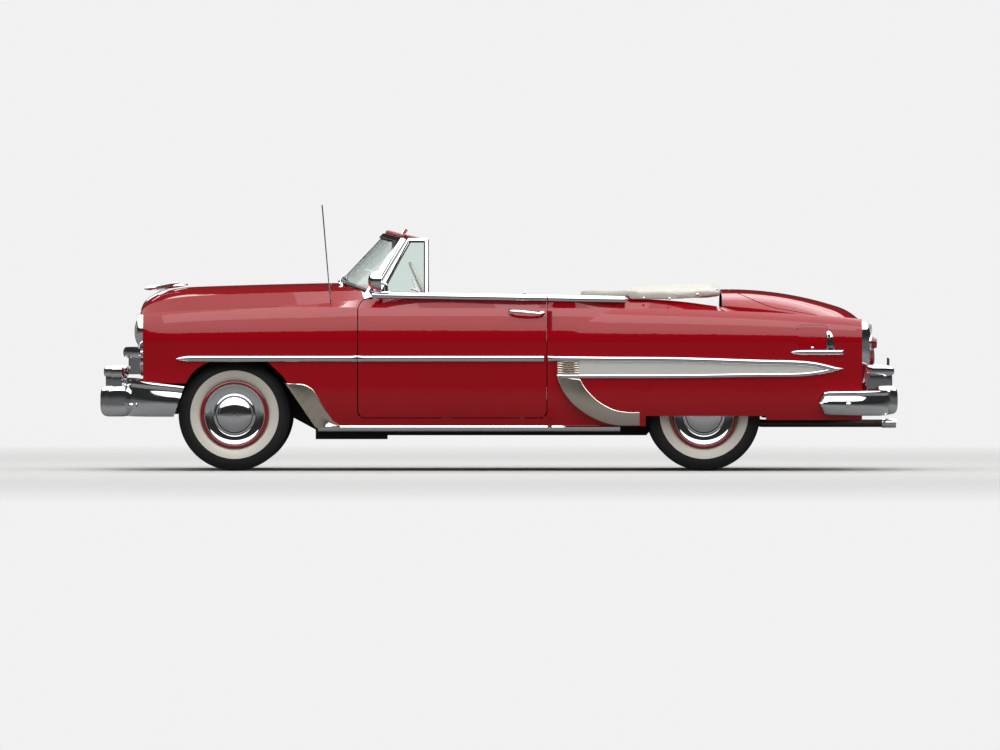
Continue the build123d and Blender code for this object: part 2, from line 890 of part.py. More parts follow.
def turned_tyre(place):
    """A tyre about the axle line at a place on it."""
    with BuildPart() as tyre:
        with BuildSketch(Plane(origin=place, x_dir=(1, 0, 0), z_dir=(0, 0, 1))):
            with BuildLine():
                half_rim = rim_width / 2 - rim_wall
                tread = tyre_half * tread_half_share
                ThreePointArc((shoulder_radius, -tread), (tyre_radius, 0), (shoulder_radius, tread))
                for side in (-1, 1):
                    foot = (rim_flange_radius, side * half_rim)
                    ThreePointArc(
                        foot, (wall_radius, side * tyre_half), (shoulder_radius, side * tread)
                    )
                    Line(foot, (tyre_bead_radius, side * half_rim))
                Line((tyre_bead_radius, -half_rim), (tyre_bead_radius, half_rim))
            make_face()
        revolve(axis=Axis(place, (0, 1, 0)))
    return tyre.part


def turned_wheel(place, side):
    """A wheel with its drum and hubcap about the axle line; side is 1 when it faces +Y."""
    with BuildPart() as wheel:
        with BuildSketch(Plane(origin=place, x_dir=(1, 0, 0), z_dir=(0, 0, 1))):
            with BuildLine():
                edge = side * rim_width / 2
                lip = side * (rim_width / 2 - rim_wall)
                face = side * disc_set_out
                back = side * (disc_set_out - rim_wall)
                drum = side * (disc_set_out - rim_wall - drum_depth)
                dome = side * (disc_set_out + hubcap_dome)
                well = tyre_bead_radius - rim_wall
                ThreePointArc(
                    (0, dome),
                    (hubcap_radius * 0.6, dome - side * hubcap_dome * 0.3),
                    (hubcap_radius, face),
                )
                Polyline(
                    (hubcap_radius, face),
                    (well, face),
                    (well, edge),
                    (rim_flange_radius, edge),
                    (rim_flange_radius, lip),
                    (tyre_bead_radius, lip),
                    (tyre_bead_radius, -lip),
                    (rim_flange_radius, -lip),
                    (rim_flange_radius, -edge),
                    (well, -edge),
                    (well, back),
                    (drum_radius, back),
                    (drum_radius, drum),
                    (drum_radius - drum_wall, drum),
                    (drum_radius - drum_wall, back),
                    (hub_bore_radius, back),
                    (hub_bore_radius, face),
                    (0, face),
                    (0, dome),
                )
            make_face()
        revolve(axis=Axis(place, (0, 1, 0)))
    return wheel.part


# Columns: end name, axle place and half track
axle_ends = [("front", front_axle_x, front_track / 2), ("rear", rear_axle_x, rear_track / 2)]
for end, x, half_track in axle_ends:
    for side_name, side in (("left", -1), ("right", 1)):
        place = (x, side * half_track, axle_z)
        save(turned_tyre(place), f"tyre_{end}_{side_name}")
        save(turned_wheel(place, side), f"wheel_{end}_{side_name}")

# Knuckles that steer the front wheels
stub_flange_radius = 52
stub_flange_y = 655
stub_end_y = front_track / 2 + disc_set_out - wheel_clearance
with BuildPart() as knuckle:
    with Locations((front_axle_x, kingpin_y, upright_low_z + wheel_clearance)):
        Cylinder(
            kingpin_radius,
            upright_high_z - upright_low_z - 2 * wheel_clearance,
            align=(Align.CENTER, Align.CENTER, Align.MIN),
        )
    with BuildSketch(Plane.XZ.offset(-kingpin_y)):
        with Locations((front_axle_x, axle_z)):
            Circle(stub_flange_radius)
    extrude(amount=-(stub_flange_y - kingpin_y))
    with BuildSketch(Plane.XZ.offset(-kingpin_y)):
        with Locations((front_axle_x, axle_z)):
            Circle(stub_radius)
    extrude(amount=-(stub_end_y - kingpin_y))
save_pair(knuckle.part, "knuckle")

# Rear axle with its differential, torque tube and leaf springs
axle_tube_radius = 40
axle_tube_half = 655
differential_radius = 128
torque_tube_radius = 36
torque_tube_front_z = 295
rear_stub_end_y = rear_track / 2 + disc_set_out - wheel_clearance
spring_y = 466
spring_width = 60
spring_thickness = 26
spring_front_x = 690
spring_rear_x = 1900
spring_front_z = 278
spring_rear_z = 400
spring_low_z = axle_z - axle_tube_radius
hanger_half = 26
with BuildPart() as rear_axle:
    with BuildSketch(Plane.XZ):
        with Locations((rear_axle_x, axle_z)):
            Circle(axle_tube_radius)
    extrude(amount=axle_tube_half, both=True)
    with BuildSketch(Plane.XZ):
        with Locations((rear_axle_x, axle_z)):
            Circle(stub_radius)
    extrude(amount=rear_stub_end_y, both=True)
    with Locations((rear_axle_x, 0, axle_z)):
        Sphere(differential_radius)
    tube_start = Vector(gearbox_rear_x + 4 * wheel_clearance, 0, torque_tube_front_z)
    tube_run = Vector(rear_axle_x, 0, axle_z) - tube_start
    with BuildSketch(Plane(origin=tube_start, z_dir=tube_run.normalized())):
        Circle(torque_tube_radius)
    extrude(amount=tube_run.length)
    for side in (-1, 1):
        with BuildSketch(Plane.XZ.offset(-side * spring_y)):
            with BuildLine():
                for lift in (0, spring_thickness):
                    ThreePointArc(
                        (spring_front_x, spring_front_z + lift),
                        (rear_axle_x, spring_low_z - spring_thickness + lift),
                        (spring_rear_x, spring_rear_z + lift),
                    )
                for x, z in ((spring_front_x, spring_front_z), (spring_rear_x, spring_rear_z)):
                    Line((x, z), (x, z + spring_thickness))
            make_face()
        extrude(amount=spring_width / 2, both=True)
        for x, z, rail_z in (
            (spring_front_x, spring_front_z, floor_z),
            (spring_rear_x, spring_rear_z, rail_rear_top_z),
        ):
            near, far = sorted((side * rail_outer_y, side * (spring_y + spring_width / 2)))
            add(
                block(
                    (x - hanger_half, x + hanger_half),
                    (near, far),
                    (z - hanger_half / 2, rail_z - overrun / 5),
                )
            )
        spring_edges = (spring_y - spring_width / 2, spring_y + spring_width / 2)
        near, far = sorted(side * y for y in spring_edges)
        add(
            block(
                (rear_axle_x - spring_width, rear_axle_x + spring_width),
                (near, far),
                (spring_low_z - spring_thickness, axle_z + axle_tube_radius / 2),
            )
        )
save(rear_axle.part, "rear_axle")

# Exhaust, from the engine's left side under the floor, over the axle and out at the left rear
exhaust_radius = 24
exhaust_y = -300
exhaust_low_z = 286
exhaust_over_z = 455
exhaust_tail_z = 292
exhaust_end_x = 2470
exhaust_bend = 70
exhaust_rear_hanger_x = 1670
muffler_front_x = -350
muffler_rear_x = 420
muffler_half_width = 34
muffler_radius = 28
exhaust_points = [
    (engine_rear_x + 2 * overrun, exhaust_y, exhaust_low_z),
    (rear_rise_x + overrun, exhaust_y, exhaust_low_z),
    (rear_high_x + overrun, exhaust_y, exhaust_over_z),
    (rear_axle_x + 3 * overrun, exhaust_y, exhaust_over_z),
    (rear_axle_x + 7 * overrun, exhaust_y, exhaust_tail_z),
    (exhaust_end_x, exhaust_y, exhaust_tail_z),
]
with BuildPart() as exhaust:
    with BuildLine() as exhaust_line:
        FilletPolyline(*exhaust_points, radius=exhaust_bend)
    with BuildSketch(Plane(origin=exhaust_points[0], z_dir=(1, 0, 0))):
        Circle(exhaust_radius)
    sweep()
    with BuildSketch(Plane.YZ.offset(muffler_front_x)):
        with Locations((exhaust_y, exhaust_low_z)):
            SlotCenterToCenter(2 * muffler_half_width, 2 * muffler_radius)
    extrude(amount=muffler_rear_x - muffler_front_x)
    for x, top_z in (
        (muffler_front_x + 2 * overrun, floor_z),
        (muffler_rear_x - 2 * overrun, floor_z),
        (exhaust_rear_hanger_x, rail_rear_top_z),
    ):
        add(
            block(
                (x, x + exhaust_radius),
                (exhaust_y - exhaust_radius / 3, exhaust_y + exhaust_radius / 3),
                (exhaust_tail_z, top_z),
            )
        )
save(exhaust.part, "exhaust")

# Floor with a tunnel, firewall, rear bulkhead and trunk floor
sheet = 8
floor_front_x = -1010
floor_rear_x = 860
floor_half_width = 785
tunnel_half_width = 115
tunnel_top_z = 430
trunk_floor_rear_x = 2205
trunk_floor_half_width = 620
trunk_wall_rear_x = 2060
trunk_wall_top_z = 860
firewall_half_width = 590
bulkhead_top_z = 1010
bulkhead_half_width = 640
tunnel_section = [
    (-tunnel_half_width, floor_z),
    (-tunnel_half_width, tunnel_top_z),
    (tunnel_half_width, tunnel_top_z),
    (tunnel_half_width, floor_z),
]
with BuildPart() as floor_pan:
    with BuildSketch(Plane.YZ.offset(floor_front_x)):
        with BuildLine():
            Polyline(
                (-floor_half_width, floor_z),
                *tunnel_section,
                (floor_half_width, floor_z),
                (floor_half_width, floor_z + sheet),
                (tunnel_half_width + sheet, floor_z + sheet),
                (tunnel_half_width + sheet, tunnel_top_z + sheet),
                (-tunnel_half_width - sheet, tunnel_top_z + sheet),
                (-tunnel_half_width - sheet, floor_z + sheet),
                (-floor_half_width, floor_z + sheet),
                close=True,
            )
        make_face()
    extrude(amount=floor_rear_x - floor_front_x)
    add(
        block(
            (floor_rear_x - sheet, floor_rear_x),
            (-bulkhead_half_width, bulkhead_half_width),
            (tunnel_top_z, bulkhead_top_z),
        )
    )
    for side in (-1, 1):
        near, far = sorted((side * tunnel_half_width, side * bulkhead_half_width))
        add(block((floor_rear_x - sheet, floor_rear_x), (near, far), (floor_z, bulkhead_top_z)))
    add(
        block(
            (floor_rear_x - sheet, trunk_floor_rear_x),
            (-trunk_floor_half_width, trunk_floor_half_width),
            (rail_rear_top_z, rail_rear_top_z + sheet),
        )
    )
    with BuildSketch(Plane.YZ.offset(floor_front_x)):
        with BuildLine():
            Polyline(
                (-firewall_half_width, floor_z),
                *tunnel_section,
                (firewall_half_width, floor_z),
                (firewall_half_width, shoulder_height),
                (-firewall_half_width, shoulder_height),
                close=True,
            )
        make_face()
    extrude(amount=-sheet)
    for side in (-1, 1):
        near, far = sorted((side * (trunk_floor_half_width - sheet), side * trunk_floor_half_width))
        add(
            block(
                (floor_rear_x - sheet, trunk_wall_rear_x),
                (near, far),
                (rail_rear_top_z, trunk_wall_top_z),
            )
        )
firewall_top = crown_fill(cowl_stations, rebate + lip_thickness + seat_gap, shoulder_height, 0)
with BuildPart() as firewall_head:
    add(firewall_top)
    add(
        block(
            (floor_front_x - sheet, floor_front_x),
            (-firewall_half_width, firewall_half_width),
            (shoulder_height, high),
        ),
        mode=Mode.INTERSECT,
    )
with BuildPart() as body_floor:
    add(floor_pan.part)
    add(firewall_head.part)
save(body_floor.part, "floor_pan")

# Fuel tank under the trunk floor
tank_front_x = 1770
tank_rear_x = 2120
tank_half_width = 245
tank_bottom_z = 350
with BuildPart() as fuel_tank:
    add(
        block(
            (tank_front_x, tank_rear_x),
            (-tank_half_width, tank_half_width),
            (tank_bottom_z, rail_rear_top_z),
        )
    )
    fillet(fuel_tank.edges().filter_by(Axis.X).group_by(Axis.Z)[0], crossmember_height / 2)
save(fuel_tank.part, "fuel_tank")

# Dashboard under the cowl's rear edge
dash_front_x = -835
dash_rear_x = -772
dash_bottom_z = 870
with BuildPart() as dashboard:
    add(crown_fill(cowl_stations, rebate + lip_thickness + seat_gap, dash_bottom_z, 0))
    add(
        block((dash_front_x, dash_rear_x), (-dash_half_width, dash_half_width), (0, 2 * high)),
        mode=Mode.INTERSECT,
    )
save(dashboard.part, "dashboard")

# Steering column and wheel
wheel_lean = 25
steer_wheel_x = -465
steer_wheel_y = -380
steer_wheel_z = 1096
steer_wheel_radius = 225
steer_rim_radius = 12
steer_hub_radius = 32
steer_hub_depth = 46
steer_dish = 60
spoke_width = 22
spoke_thickness = 9
column_radius = 24
column_length = 560
steer_plane = Plane(
    origin=(steer_wheel_x, steer_wheel_y, steer_wheel_z),
    x_dir=(0, 1, 0),
    z_dir=Vector(1, 0, 0).rotate(Axis.Y, -wheel_lean),
)
with BuildPart() as steering_wheel:
    with BuildSketch(steer_plane.offset(-steer_dish)):
        Circle(steer_hub_radius)
    extrude(amount=steer_hub_depth)
    for side in (-1, 1):
        start = steer_plane.from_local_coords((0, 0, steer_hub_depth / 2 - steer_dish))
        rim_side = side * (steer_wheel_radius - 1.4 * steer_rim_radius)
        end = steer_plane.from_local_coords((rim_side, 0, 0))
        run = (end - start).normalized()
        with BuildSketch(Plane(origin=start, x_dir=steer_plane.y_dir, z_dir=run)):
            Rectangle(spoke_width, spoke_thickness)
        extrude(amount=(end - start).length)
    with Locations(steer_plane.location):
        Torus(steer_wheel_radius - steer_rim_radius, steer_rim_radius)
save(steering_wheel.part, "steering_wheel")
with BuildPart() as steering_column:
    with BuildSketch(steer_plane.offset(-steer_dish - wheel_clearance)):
        Circle(column_radius)
    extrude(amount=-column_length)
    add(dashboard.part, mode=Mode.SUBTRACT)
    add(body_floor.part, mode=Mode.SUBTRACT)
save(steering_column.part.solids().sort_by(Axis.X)[-1], "steering_column")

# Seats. Each bench has a rigid base or shelf and a soft cushion and back.
seat_half_width = 625
seat_edge = 40
front_base_front_x = -300
front_base_rear_x = 130
seat_base_z = 470
front_cushion_front_x = -345
front_cushion_rear_x = 150
cushion_top_z = 645
back_thickness = 130
front_back_top_x = 300
front_back_top_z = 1010
rear_cushion_front_x = 395
rear_cushion_rear_x = 745
rear_back_top_x = 835
rear_back_top_z = 1030
rear_seat_half_width = 600


def bench(front_x, rear_x, half_width):
    """A bench seat's cushion with rounded edges."""
    with BuildPart() as cushion:
        add(
            block(
                (front_x, rear_x),
                (-half_width, half_width),
                (seat_base_z + seat_gap, cushion_top_z),
            )
        )
        fillet(cushion.edges().filter_by(Axis.Y).group_by(Axis.Z)[-1], seat_edge)
    return cushion.part


def bench_back(foot_x, top_x, top_z, half_width):
    """A bench seat's leaning back, standing just clear of the cushion."""
    low = cushion_top_z + seat_gap
    with BuildPart() as back:
        with BuildSketch(Plane.XZ):
            with BuildLine():
                Polyline(
                    (foot_x - back_thickness, low),
                    (foot_x, low),
                    (top_x, top_z),
                    (top_x - back_thickness / 2, top_z),
                    close=True,
                )
            make_face()
        extrude(amount=half_width, both=True)
        fillet(back.edges().filter_by(Axis.Y).group_by(Axis.Z)[-1], seat_edge / 2)
    return back.part


with BuildPart() as seat_base:
    for side in (-1, 1):
        reach = (tunnel_half_width + sheet, seat_half_width - overrun)
        near, far = sorted(side * y for y in reach)
        for x_range in (
            (front_base_front_x, front_base_rear_x),
            (rear_cushion_front_x + overrun, rear_cushion_rear_x),
        ):
            add(block(x_range, (near, far), (floor_z + sheet, seat_base_z)))
save(seat_base.part, "seat_bases")
save(bench(front_cushion_front_x, front_cushion_rear_x, seat_half_width), "front_seat_cushion")
save(
    bench_back(front_cushion_rear_x, front_back_top_x, front_back_top_z, seat_half_width),
    "front_seat_back",
)
save(bench(rear_cushion_front_x, rear_cushion_rear_x, rear_seat_half_width), "rear_seat_cushion")
save(
    bench_back(rear_cushion_rear_x, rear_back_top_x, rear_back_top_z, rear_seat_half_width),
    "rear_seat_back",
)

# Boot over the folded top: a crowned body with side flaps, and two arms along the cabin's sides
boot_arm_front_x = 504
boot_front_x = 803
boot_rear_x = deck_front_x - seat_gap
boot_base_z = 1078
boot_arm_top_z = 1124
boot_top_z = 1174
boot_half_width = 806
boot_arm_inner_y = 655
boot_arm_outer_y = 792
boot_flap = 14
# Columns: place along the boot as a share of its length, half width as a share of
# boot_half_width, crown, edge and flap foot heights as shares of boot_top_z
boot_station_shares = [
    (0.00, 1.000, 0.969, 0.950, 0.900),
    (0.34, 1.000, 0.978, 0.950, 0.898),
    (0.66, 0.982, 0.987, 0.948, 0.907),
    (0.92, 0.940, 1.000, 0.958, 0.928),
    (1.00, 0.900, 0.984, 0.952, 0.934),
]
with BuildPart() as boot_cover:
    for place, width_share, crown_share, edge_share, foot_share in boot_station_shares:
        with BuildSketch(Plane.YZ.offset(boot_front_x + (boot_rear_x - boot_front_x) * place)):
            half = boot_half_width * width_share
            edge_z, foot_z = boot_top_z * edge_share, boot_top_z * foot_share
            with BuildLine():
                ThreePointArc((-half, edge_z), (0, boot_top_z * crown_share), (half, edge_z))
                for side in (-1, 1):
                    Polyline(
                        (side * half, edge_z),
                        (side * half, foot_z),
                        (side * (half - boot_flap), foot_z),
                        (side * (half - boot_flap), boot_base_z + boot_flap / 2),
                    )
                Line(
                    (boot_flap - half, boot_base_z + boot_flap / 2),
                    (half - boot_flap, boot_base_z + boot_flap / 2),
                )
            make_face()
    loft(ruled=True)
    for side in (-1, 1):
        near, far = sorted((side * boot_arm_inner_y, side * boot_arm_outer_y))
        add(
            block(
                (boot_arm_front_x, boot_front_x + overrun),
                (near, far),
                (boot_base_z, boot_arm_top_z),
            )
        )
save(boot_cover.part, "boot_cover")

# Front panel between the fenders, with openings for the grille and the headlamps
panel_front_x = fender_front_x
panel_thickness = 28
panel_bottom_z = 545
panel_half_width = 782
panel_top_z = 936
panel_shoulder_z = 800
panel_shoulder_y = 712
grille_half_width = 545
grille_low_z = 590
grille_high_z = 775
headlamp_y = 655
headlamp_z = 866
headlamp_radius = 106
headlamp_bucket_radius = 74
headlamp_bucket_depth = 90
headlamp_bezel_depth = 26
headlamp_wall = 6
front_plane = Plane.YZ.offset(panel_front_x)
with BuildPart() as front_panel:
    with BuildSketch(front_plane):
        with BuildLine():
            Polyline(
                (-panel_half_width, panel_bottom_z),
                (-panel_half_width, panel_shoulder_z),
                (-panel_shoulder_y, panel_top_z),
                (panel_shoulder_y, panel_top_z),
                (panel_half_width, panel_shoulder_z),
                (panel_half_width, panel_bottom_z),
                close=True,
            )
        make_face()
        with Locations((0, (grille_low_z + grille_high_z) / 2)):
            SlotOverall(2 * grille_half_width, grille_high_z - grille_low_z, mode=Mode.SUBTRACT)
        with Locations((-headlamp_y, headlamp_z), (headlamp_y, headlamp_z)):
            Circle(headlamp_bucket_radius, mode=Mode.SUBTRACT)
    extrude(amount=panel_thickness)
    add(front_fender.part, mode=Mode.SUBTRACT)
    add(mirror(front_fender.part, about=Plane.XZ), mode=Mode.SUBTRACT)
save(front_panel.part.solids().sort_by(SortBy.VOLUME)[-1], "front_panel")

# Headlamps: a chrome bezel on the panel's face, a bucket behind it and a domed lens
with BuildPart() as headlamp:
    place = (panel_front_x, headlamp_y, headlamp_z)
    with BuildSketch(Plane(origin=place, x_dir=(0, 1, 0), z_dir=(0, 0, -1))):
        with BuildLine():
            inner = headlamp_bucket_radius - headlamp_wall
            Polyline(
                (headlamp_bucket_radius, 0),
                (headlamp_radius, 0),
                (headlamp_radius * 0.94, -headlamp_bezel_depth),
                (inner, -headlamp_bezel_depth),
                (inner, headlamp_bucket_depth - headlamp_wall),
                (0, headlamp_bucket_depth - headlamp_wall),
                (0, headlamp_bucket_depth),
                (headlamp_bucket_radius, headlamp_bucket_depth),
                close=True,
            )
        make_face()
    revolve(axis=Axis(place, (1, 0, 0)))
save(both_sides(headlamp.part), "headlamps")
lens_dome = 18
with BuildPart() as lens:
    place = (panel_front_x - headlamp_bezel_depth / 2, headlamp_y, headlamp_z)
    with BuildSketch(Plane(origin=place, x_dir=(0, 1, 0), z_dir=(0, 0, -1))):
        with BuildLine():
            radius = headlamp_bucket_radius - headlamp_wall
            ThreePointArc((0, -lens_dome), (radius * 0.55, -lens_dome * 0.74), (radius, 0))
            Polyline((radius, 0), (radius, headlamp_wall), (0, headlamp_wall), (0, -lens_dome))
        make_face()
    revolve(axis=Axis(place, (1, 0, 0)))
save(both_sides(lens.part), "headlamp_lenses")

# Grille: a bright surround in the opening, a bowed upper bar and five teeth below it
grille_bar_front_x = -2362
surround_wall = 16
surround_front = 22
bar_mid_z = 734
bar_half_height = 34
bar_half_depth = 24
bar_half_width = 520
tooth_width = 46
tooth_edge = 12
tooth_pitch = 150
tooth_count = 5
tooth_front_x = -2318
grille_mid_z = (grille_low_z + grille_high_z) / 2
with BuildPart() as grille_bar:
    with BuildLine():
        ThreePointArc(
            (panel_front_x, -bar_half_width, bar_mid_z),
            (grille_bar_front_x + bar_half_depth, 0, bar_mid_z),
            (panel_front_x, bar_half_width, bar_mid_z),
        )
    with BuildSketch(Plane.XZ.offset(bar_half_width)):
        with Locations((panel_front_x, bar_mid_z)):
            Ellipse(bar_half_depth, bar_half_height)
    sweep()
    add(
        block((panel_front_x, 0), (-wide, wide), (grille_low_z, panel_top_z)), mode=Mode.SUBTRACT
    )
tooth_low = grille_low_z + surround_wall / 2
with BuildPart() as tooth:
    add(
        block(
            (tooth_front_x, panel_front_x),
            (-tooth_width / 2, tooth_width / 2),
            (tooth_low, bar_mid_z),
        )
    )
    fillet(tooth.edges().group_by(Axis.X)[0], tooth_edge)
with BuildPart() as grille:
    with BuildSketch(Plane.YZ.offset(panel_front_x - surround_front)):
        with Locations((0, grille_mid_z)):
            SlotOverall(2 * grille_half_width, grille_high_z - grille_low_z)
            SlotOverall(
                2 * (grille_half_width - surround_wall),
                grille_high_z - grille_low_z - 2 * surround_wall,
                mode=Mode.SUBTRACT,
            )
    extrude(amount=surround_front + panel_thickness)
    add(grille_bar.part)
    with GridLocations(0, tooth_pitch, 1, tooth_count):
        add(tooth.part)
save(grille.part, "grille")

# Bumpers: a bowed blade on two brackets, with rounded guards and horns above them. The rear one
# carries the licence plate's holder.
bumper_thickness = 26
bumper_bulge = 20
bumper_low_z = 338
front_bumper_high_z = 575
front_bumper_end_high_z = 529
rear_bumper_high_z = 500
front_bumper_x = -2372
front_bumper_end_x = -1954
rear_bumper_x = 2468
rear_bumper_end_x = 1991
bumper_end_slant = 68
bumper_half_width = 938
guard_depth = 165
guard_width = 84
guard_edge = 30
guard_low_z = 334
guard_high_z = 530
horn_depth = 78
horn_width = 60
horn_edge = 24
front_horn_high_z = 652
rear_horn_high_z = 658
bracket_inset = 35
plate_holder_x = 2438
plate_holder_thickness = 6
plate_holder_half_width = 153
plate_holder_high_z = 700
plate_hole_z = 665
plate_hole_spacing = 178
plate_hole_radius = 3.5
# Columns: place from the blade's middle to its end, half width as a share of bumper_half_width
blade_path_shares = [(0, 0), (0.04, 0.43), (0.15, 0.75), (0.42, 0.957), (1, 1)]
# Columns: guard's place across and front or rear end
front_guards = [(330, -half_length), (570, 2 * horn_edge - half_length)]
rear_guards = [(330, half_length)]


def blade(centre_x, end_x, high_z, end_high_z):
    """A bumper blade with a bowed face that wraps round both corners to slanted ends."""
    inward = 1 if end_x > centre_x else -1
    middle_z = (bumper_low_z + high_z) / 2
    with BuildPart() as half:
        with BuildLine():
            points = [
                (centre_x + (end_x - centre_x) * x_share, bumper_half_width * y_share, middle_z)
                for x_share, y_share in blade_path_shares
            ]
            Spline(*points, tangents=[(0, 1, 0), (inward, 0, 0)])
        with BuildSketch(Plane.XZ):
            with BuildLine():
                edge_x = centre_x + inward * bumper_bulge
                back_x = centre_x + inward * bumper_thickness
                ThreePointArc((edge_x, bumper_low_z), (centre_x, middle_z), (edge_x, high_z))
                Polyline(
                    (edge_x, high_z), (back_x, high_z), (back_x, bumper_low_z), (edge_x, bumper_low_z)
                )
            make_face()
        sweep()
    past_x = end_x + inward * overrun
    slanted_end = side_prism(
        [
            (end_x, end_high_z),
            (end_x - inward * bumper_end_slant, bumper_low_z),
            (end_x - inward * bumper_end_slant, 0),
            (past_x, 0),
            (past_x, end_high_z),
        ],
        {},
        0,
        wide + overrun,
    )
    with BuildPart() as trimmed:
        add(half.part)
        add(slanted_end, mode=Mode.SUBTRACT)
        if end_high_z < high_z:
            falling_top = side_prism(
                [(centre_x, high_z), (end_x, end_high_z), (past_x, end_high_z), (past_x, high)],
                {},
                0,
                wide + overrun,
            )
            add(falling_top, mode=Mode.SUBTRACT)
    with BuildPart() as whole:
        add(trimmed.part)
        mirror(trimmed.part, about=Plane.XZ)
    return whole.part


def guard(end_x, y, horn_high_z):
    """A bumper guard with rounded edges from end_x towards the car, with its horn on top."""
    inward = 1 if end_x < 0 else -1
    with BuildPart() as body:
        near, far = sorted((end_x, end_x + inward * guard_depth))
        add(block((near, far), (y - guard_width / 2, y + guard_width / 2), (guard_low_z, guard_high_z)))
        fillet(body.edges(), guard_edge)
    with BuildPart() as horn:
        start = end_x + inward * horn_edge
        near, far = sorted((start, start + inward * horn_depth))
        add(
            block(
                (near, far),
                (y - horn_width / 2, y + horn_width / 2),
                (guard_high_z - guard_edge - horn_edge, horn_high_z),
            )
        )
        fillet(horn.edges(), horn_edge)
    with BuildPart() as both:
        add(body.part)
        add(horn.part)
    return both.part


with BuildPart() as front_bumper:
    add(blade(front_bumper_x, front_bumper_end_x, front_bumper_high_z, front_bumper_end_high_z))
    for side in (-1, 1):
        for y, x in front_guards:
            add(guard(x, side * y, front_horn_high_z))
        near, far = sorted((side * rail_inner_y, side * rail_outer_y))
        add(
            block(
                (front_bumper_x + bracket_inset, rail_front_x),
                (near, far),
                (rail_front_bottom_z, rail_front_top_z),
            )
        )
save(front_bumper.part, "front_bumper")
with BuildPart() as rear_bumper:
    add(blade(rear_bumper_x, rear_bumper_end_x, rear_bumper_high_z, rear_bumper_high_z))
    for side in (-1, 1):
        for y, x in rear_guards:
            add(guard(x, side * y, rear_horn_high_z))
        near, far = sorted((side * rail_inner_y, side * rail_outer_y))
        add(
            block(
                (rail_rear_x, rear_bumper_x - bracket_inset),
                (near, far),
                (rail_rear_bottom_z, deck_bottom - seat_gap),
            )
        )
    with BuildSketch(Plane.YZ.offset(plate_holder_x)):
        with Locations((0, (rail_rear_bottom_z + plate_holder_high_z) / 2)):
            Rectangle(2 * plate_holder_half_width, plate_holder_high_z - rail_rear_bottom_z)
        for side in (-1, 1):
            with Locations((side * plate_hole_spacing / 2, plate_hole_z)):
                Circle(plate_hole_radius, mode=Mode.SUBTRACT)
    extrude(amount=plate_holder_thickness)
save(rear_bumper.part, "rear_bumper")

# Tail lamps on the closed ends of the quarters
tail_lamp_y = 748
tail_lamp_low_z = 655
tail_lamp_high_z = 930
tail_lamp_half_width = 62
tail_lamp_rear_x = 2312
tail_bullet_z = 796
tail_bullet_radius = 44
tail_bullet_rear_x = 2352
tail_lamp_edge = 18
tail_lens_taper = 20
with BuildPart() as tail_lamp:
    with BuildSketch(Plane.YZ.offset(tail_x)):
        with Locations((tail_lamp_y, (tail_lamp_low_z + tail_lamp_high_z) / 2)):
            RectangleRounded(
                2 * tail_lamp_half_width,
                tail_lamp_high_z - tail_lamp_low_z,
                0.7 * tail_lamp_half_width,
            )
    extrude(amount=tail_lamp_rear_x - tail_x)
    fillet(tail_lamp.faces().sort_by(Axis.X)[-1].edges(), tail_lamp_edge)
save(both_sides(tail_lamp.part), "tail_lamps")
with BuildPart() as tail_lens:
    with BuildSketch(Plane.YZ.offset(tail_lamp_rear_x)):
        with Locations((tail_lamp_y, tail_bullet_z)):
            Circle(tail_bullet_radius)
    extrude(amount=tail_bullet_rear_x - tail_lamp_rear_x, taper=tail_lens_taper)
save(both_sides(tail_lens.part), "tail_lenses")

# Round mirror on the left door's belt: a domed head, a stem and a foot
mirror_front_x = -815
mirror_face_x = -734
mirror_y = -806
mirror_z = 1182
mirror_radius = 68
stem_radius = 9
stem_x = -706
mirror_foot_front_x = -786
mirror_foot_rear_x = -678
mirror_foot_half_width = 17
mirror_foot_high_z = 1098
mirror_centre = (mirror_face_x, mirror_y, mirror_z)
with BuildPart() as door_mirror:
    with BuildSketch(Plane(origin=mirror_centre, x_dir=(1, 0, 0), z_dir=(0, -1, 0))):
        with BuildLine():
            depth = mirror_face_x - mirror_front_x
            ThreePointArc((-depth, 0), (-0.72 * depth, 0.68 * mirror_radius), (0, mirror_radius))
            Polyline((0, mirror_radius), (0, 0), (-depth, 0))
        make_face()
    revolve(axis=Axis(mirror_centre, (1, 0, 0)))
    with BuildSketch(Plane.YZ.offset(mirror_face_x - stem_radius)):
        with Locations((mirror_y, mirror_z)):
            Circle(stem_radius)
    extrude(amount=stem_x - mirror_face_x + 2 * stem_radius)
    with BuildSketch(Plane.XY.offset(mirror_foot_high_z - stem_radius)):
        with Locations((stem_x, mirror_y)):
            Circle(stem_radius)
    extrude(amount=mirror_z - mirror_foot_high_z + 2 * stem_radius)
    add(
        block(
            (mirror_foot_front_x, mirror_foot_rear_x),
            (mirror_y - mirror_foot_half_width, mirror_y + mirror_foot_half_width),
            (shoulder_height, mirror_foot_high_z),
        )
    )
    add(mirror(door.part, about=Plane.XZ), mode=Mode.SUBTRACT)
save(door_mirror.part.solids().sort_by(Axis.Z)[-1], "door_mirror")

# Radio aerial on the left fender
aerial_y = -800
aerial_base_x = -1045
aerial_base_z = 1012
aerial_tip_x = -1101
aerial_tip_z = 1655
aerial_radius = 4
aerial_base = Vector(aerial_base_x, aerial_y, aerial_base_z)
with BuildPart() as aerial:
    run = Vector(aerial_tip_x, aerial_y, aerial_tip_z) - aerial_base
    with BuildSketch(Plane(origin=aerial_base, z_dir=run.normalized())):
        Circle(aerial_radius)
    extrude(amount=run.length)
    add(mirror(front_fender.part, about=Plane.XZ), mode=Mode.SUBTRACT)
save(aerial.part.solids().sort_by(Axis.Z)[-1], "antenna")
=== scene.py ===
from math import copysign, cos, exp, pi, radians, sin, sqrt
import bpy
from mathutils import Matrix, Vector
from mathutils.bvhtree import BVHTree


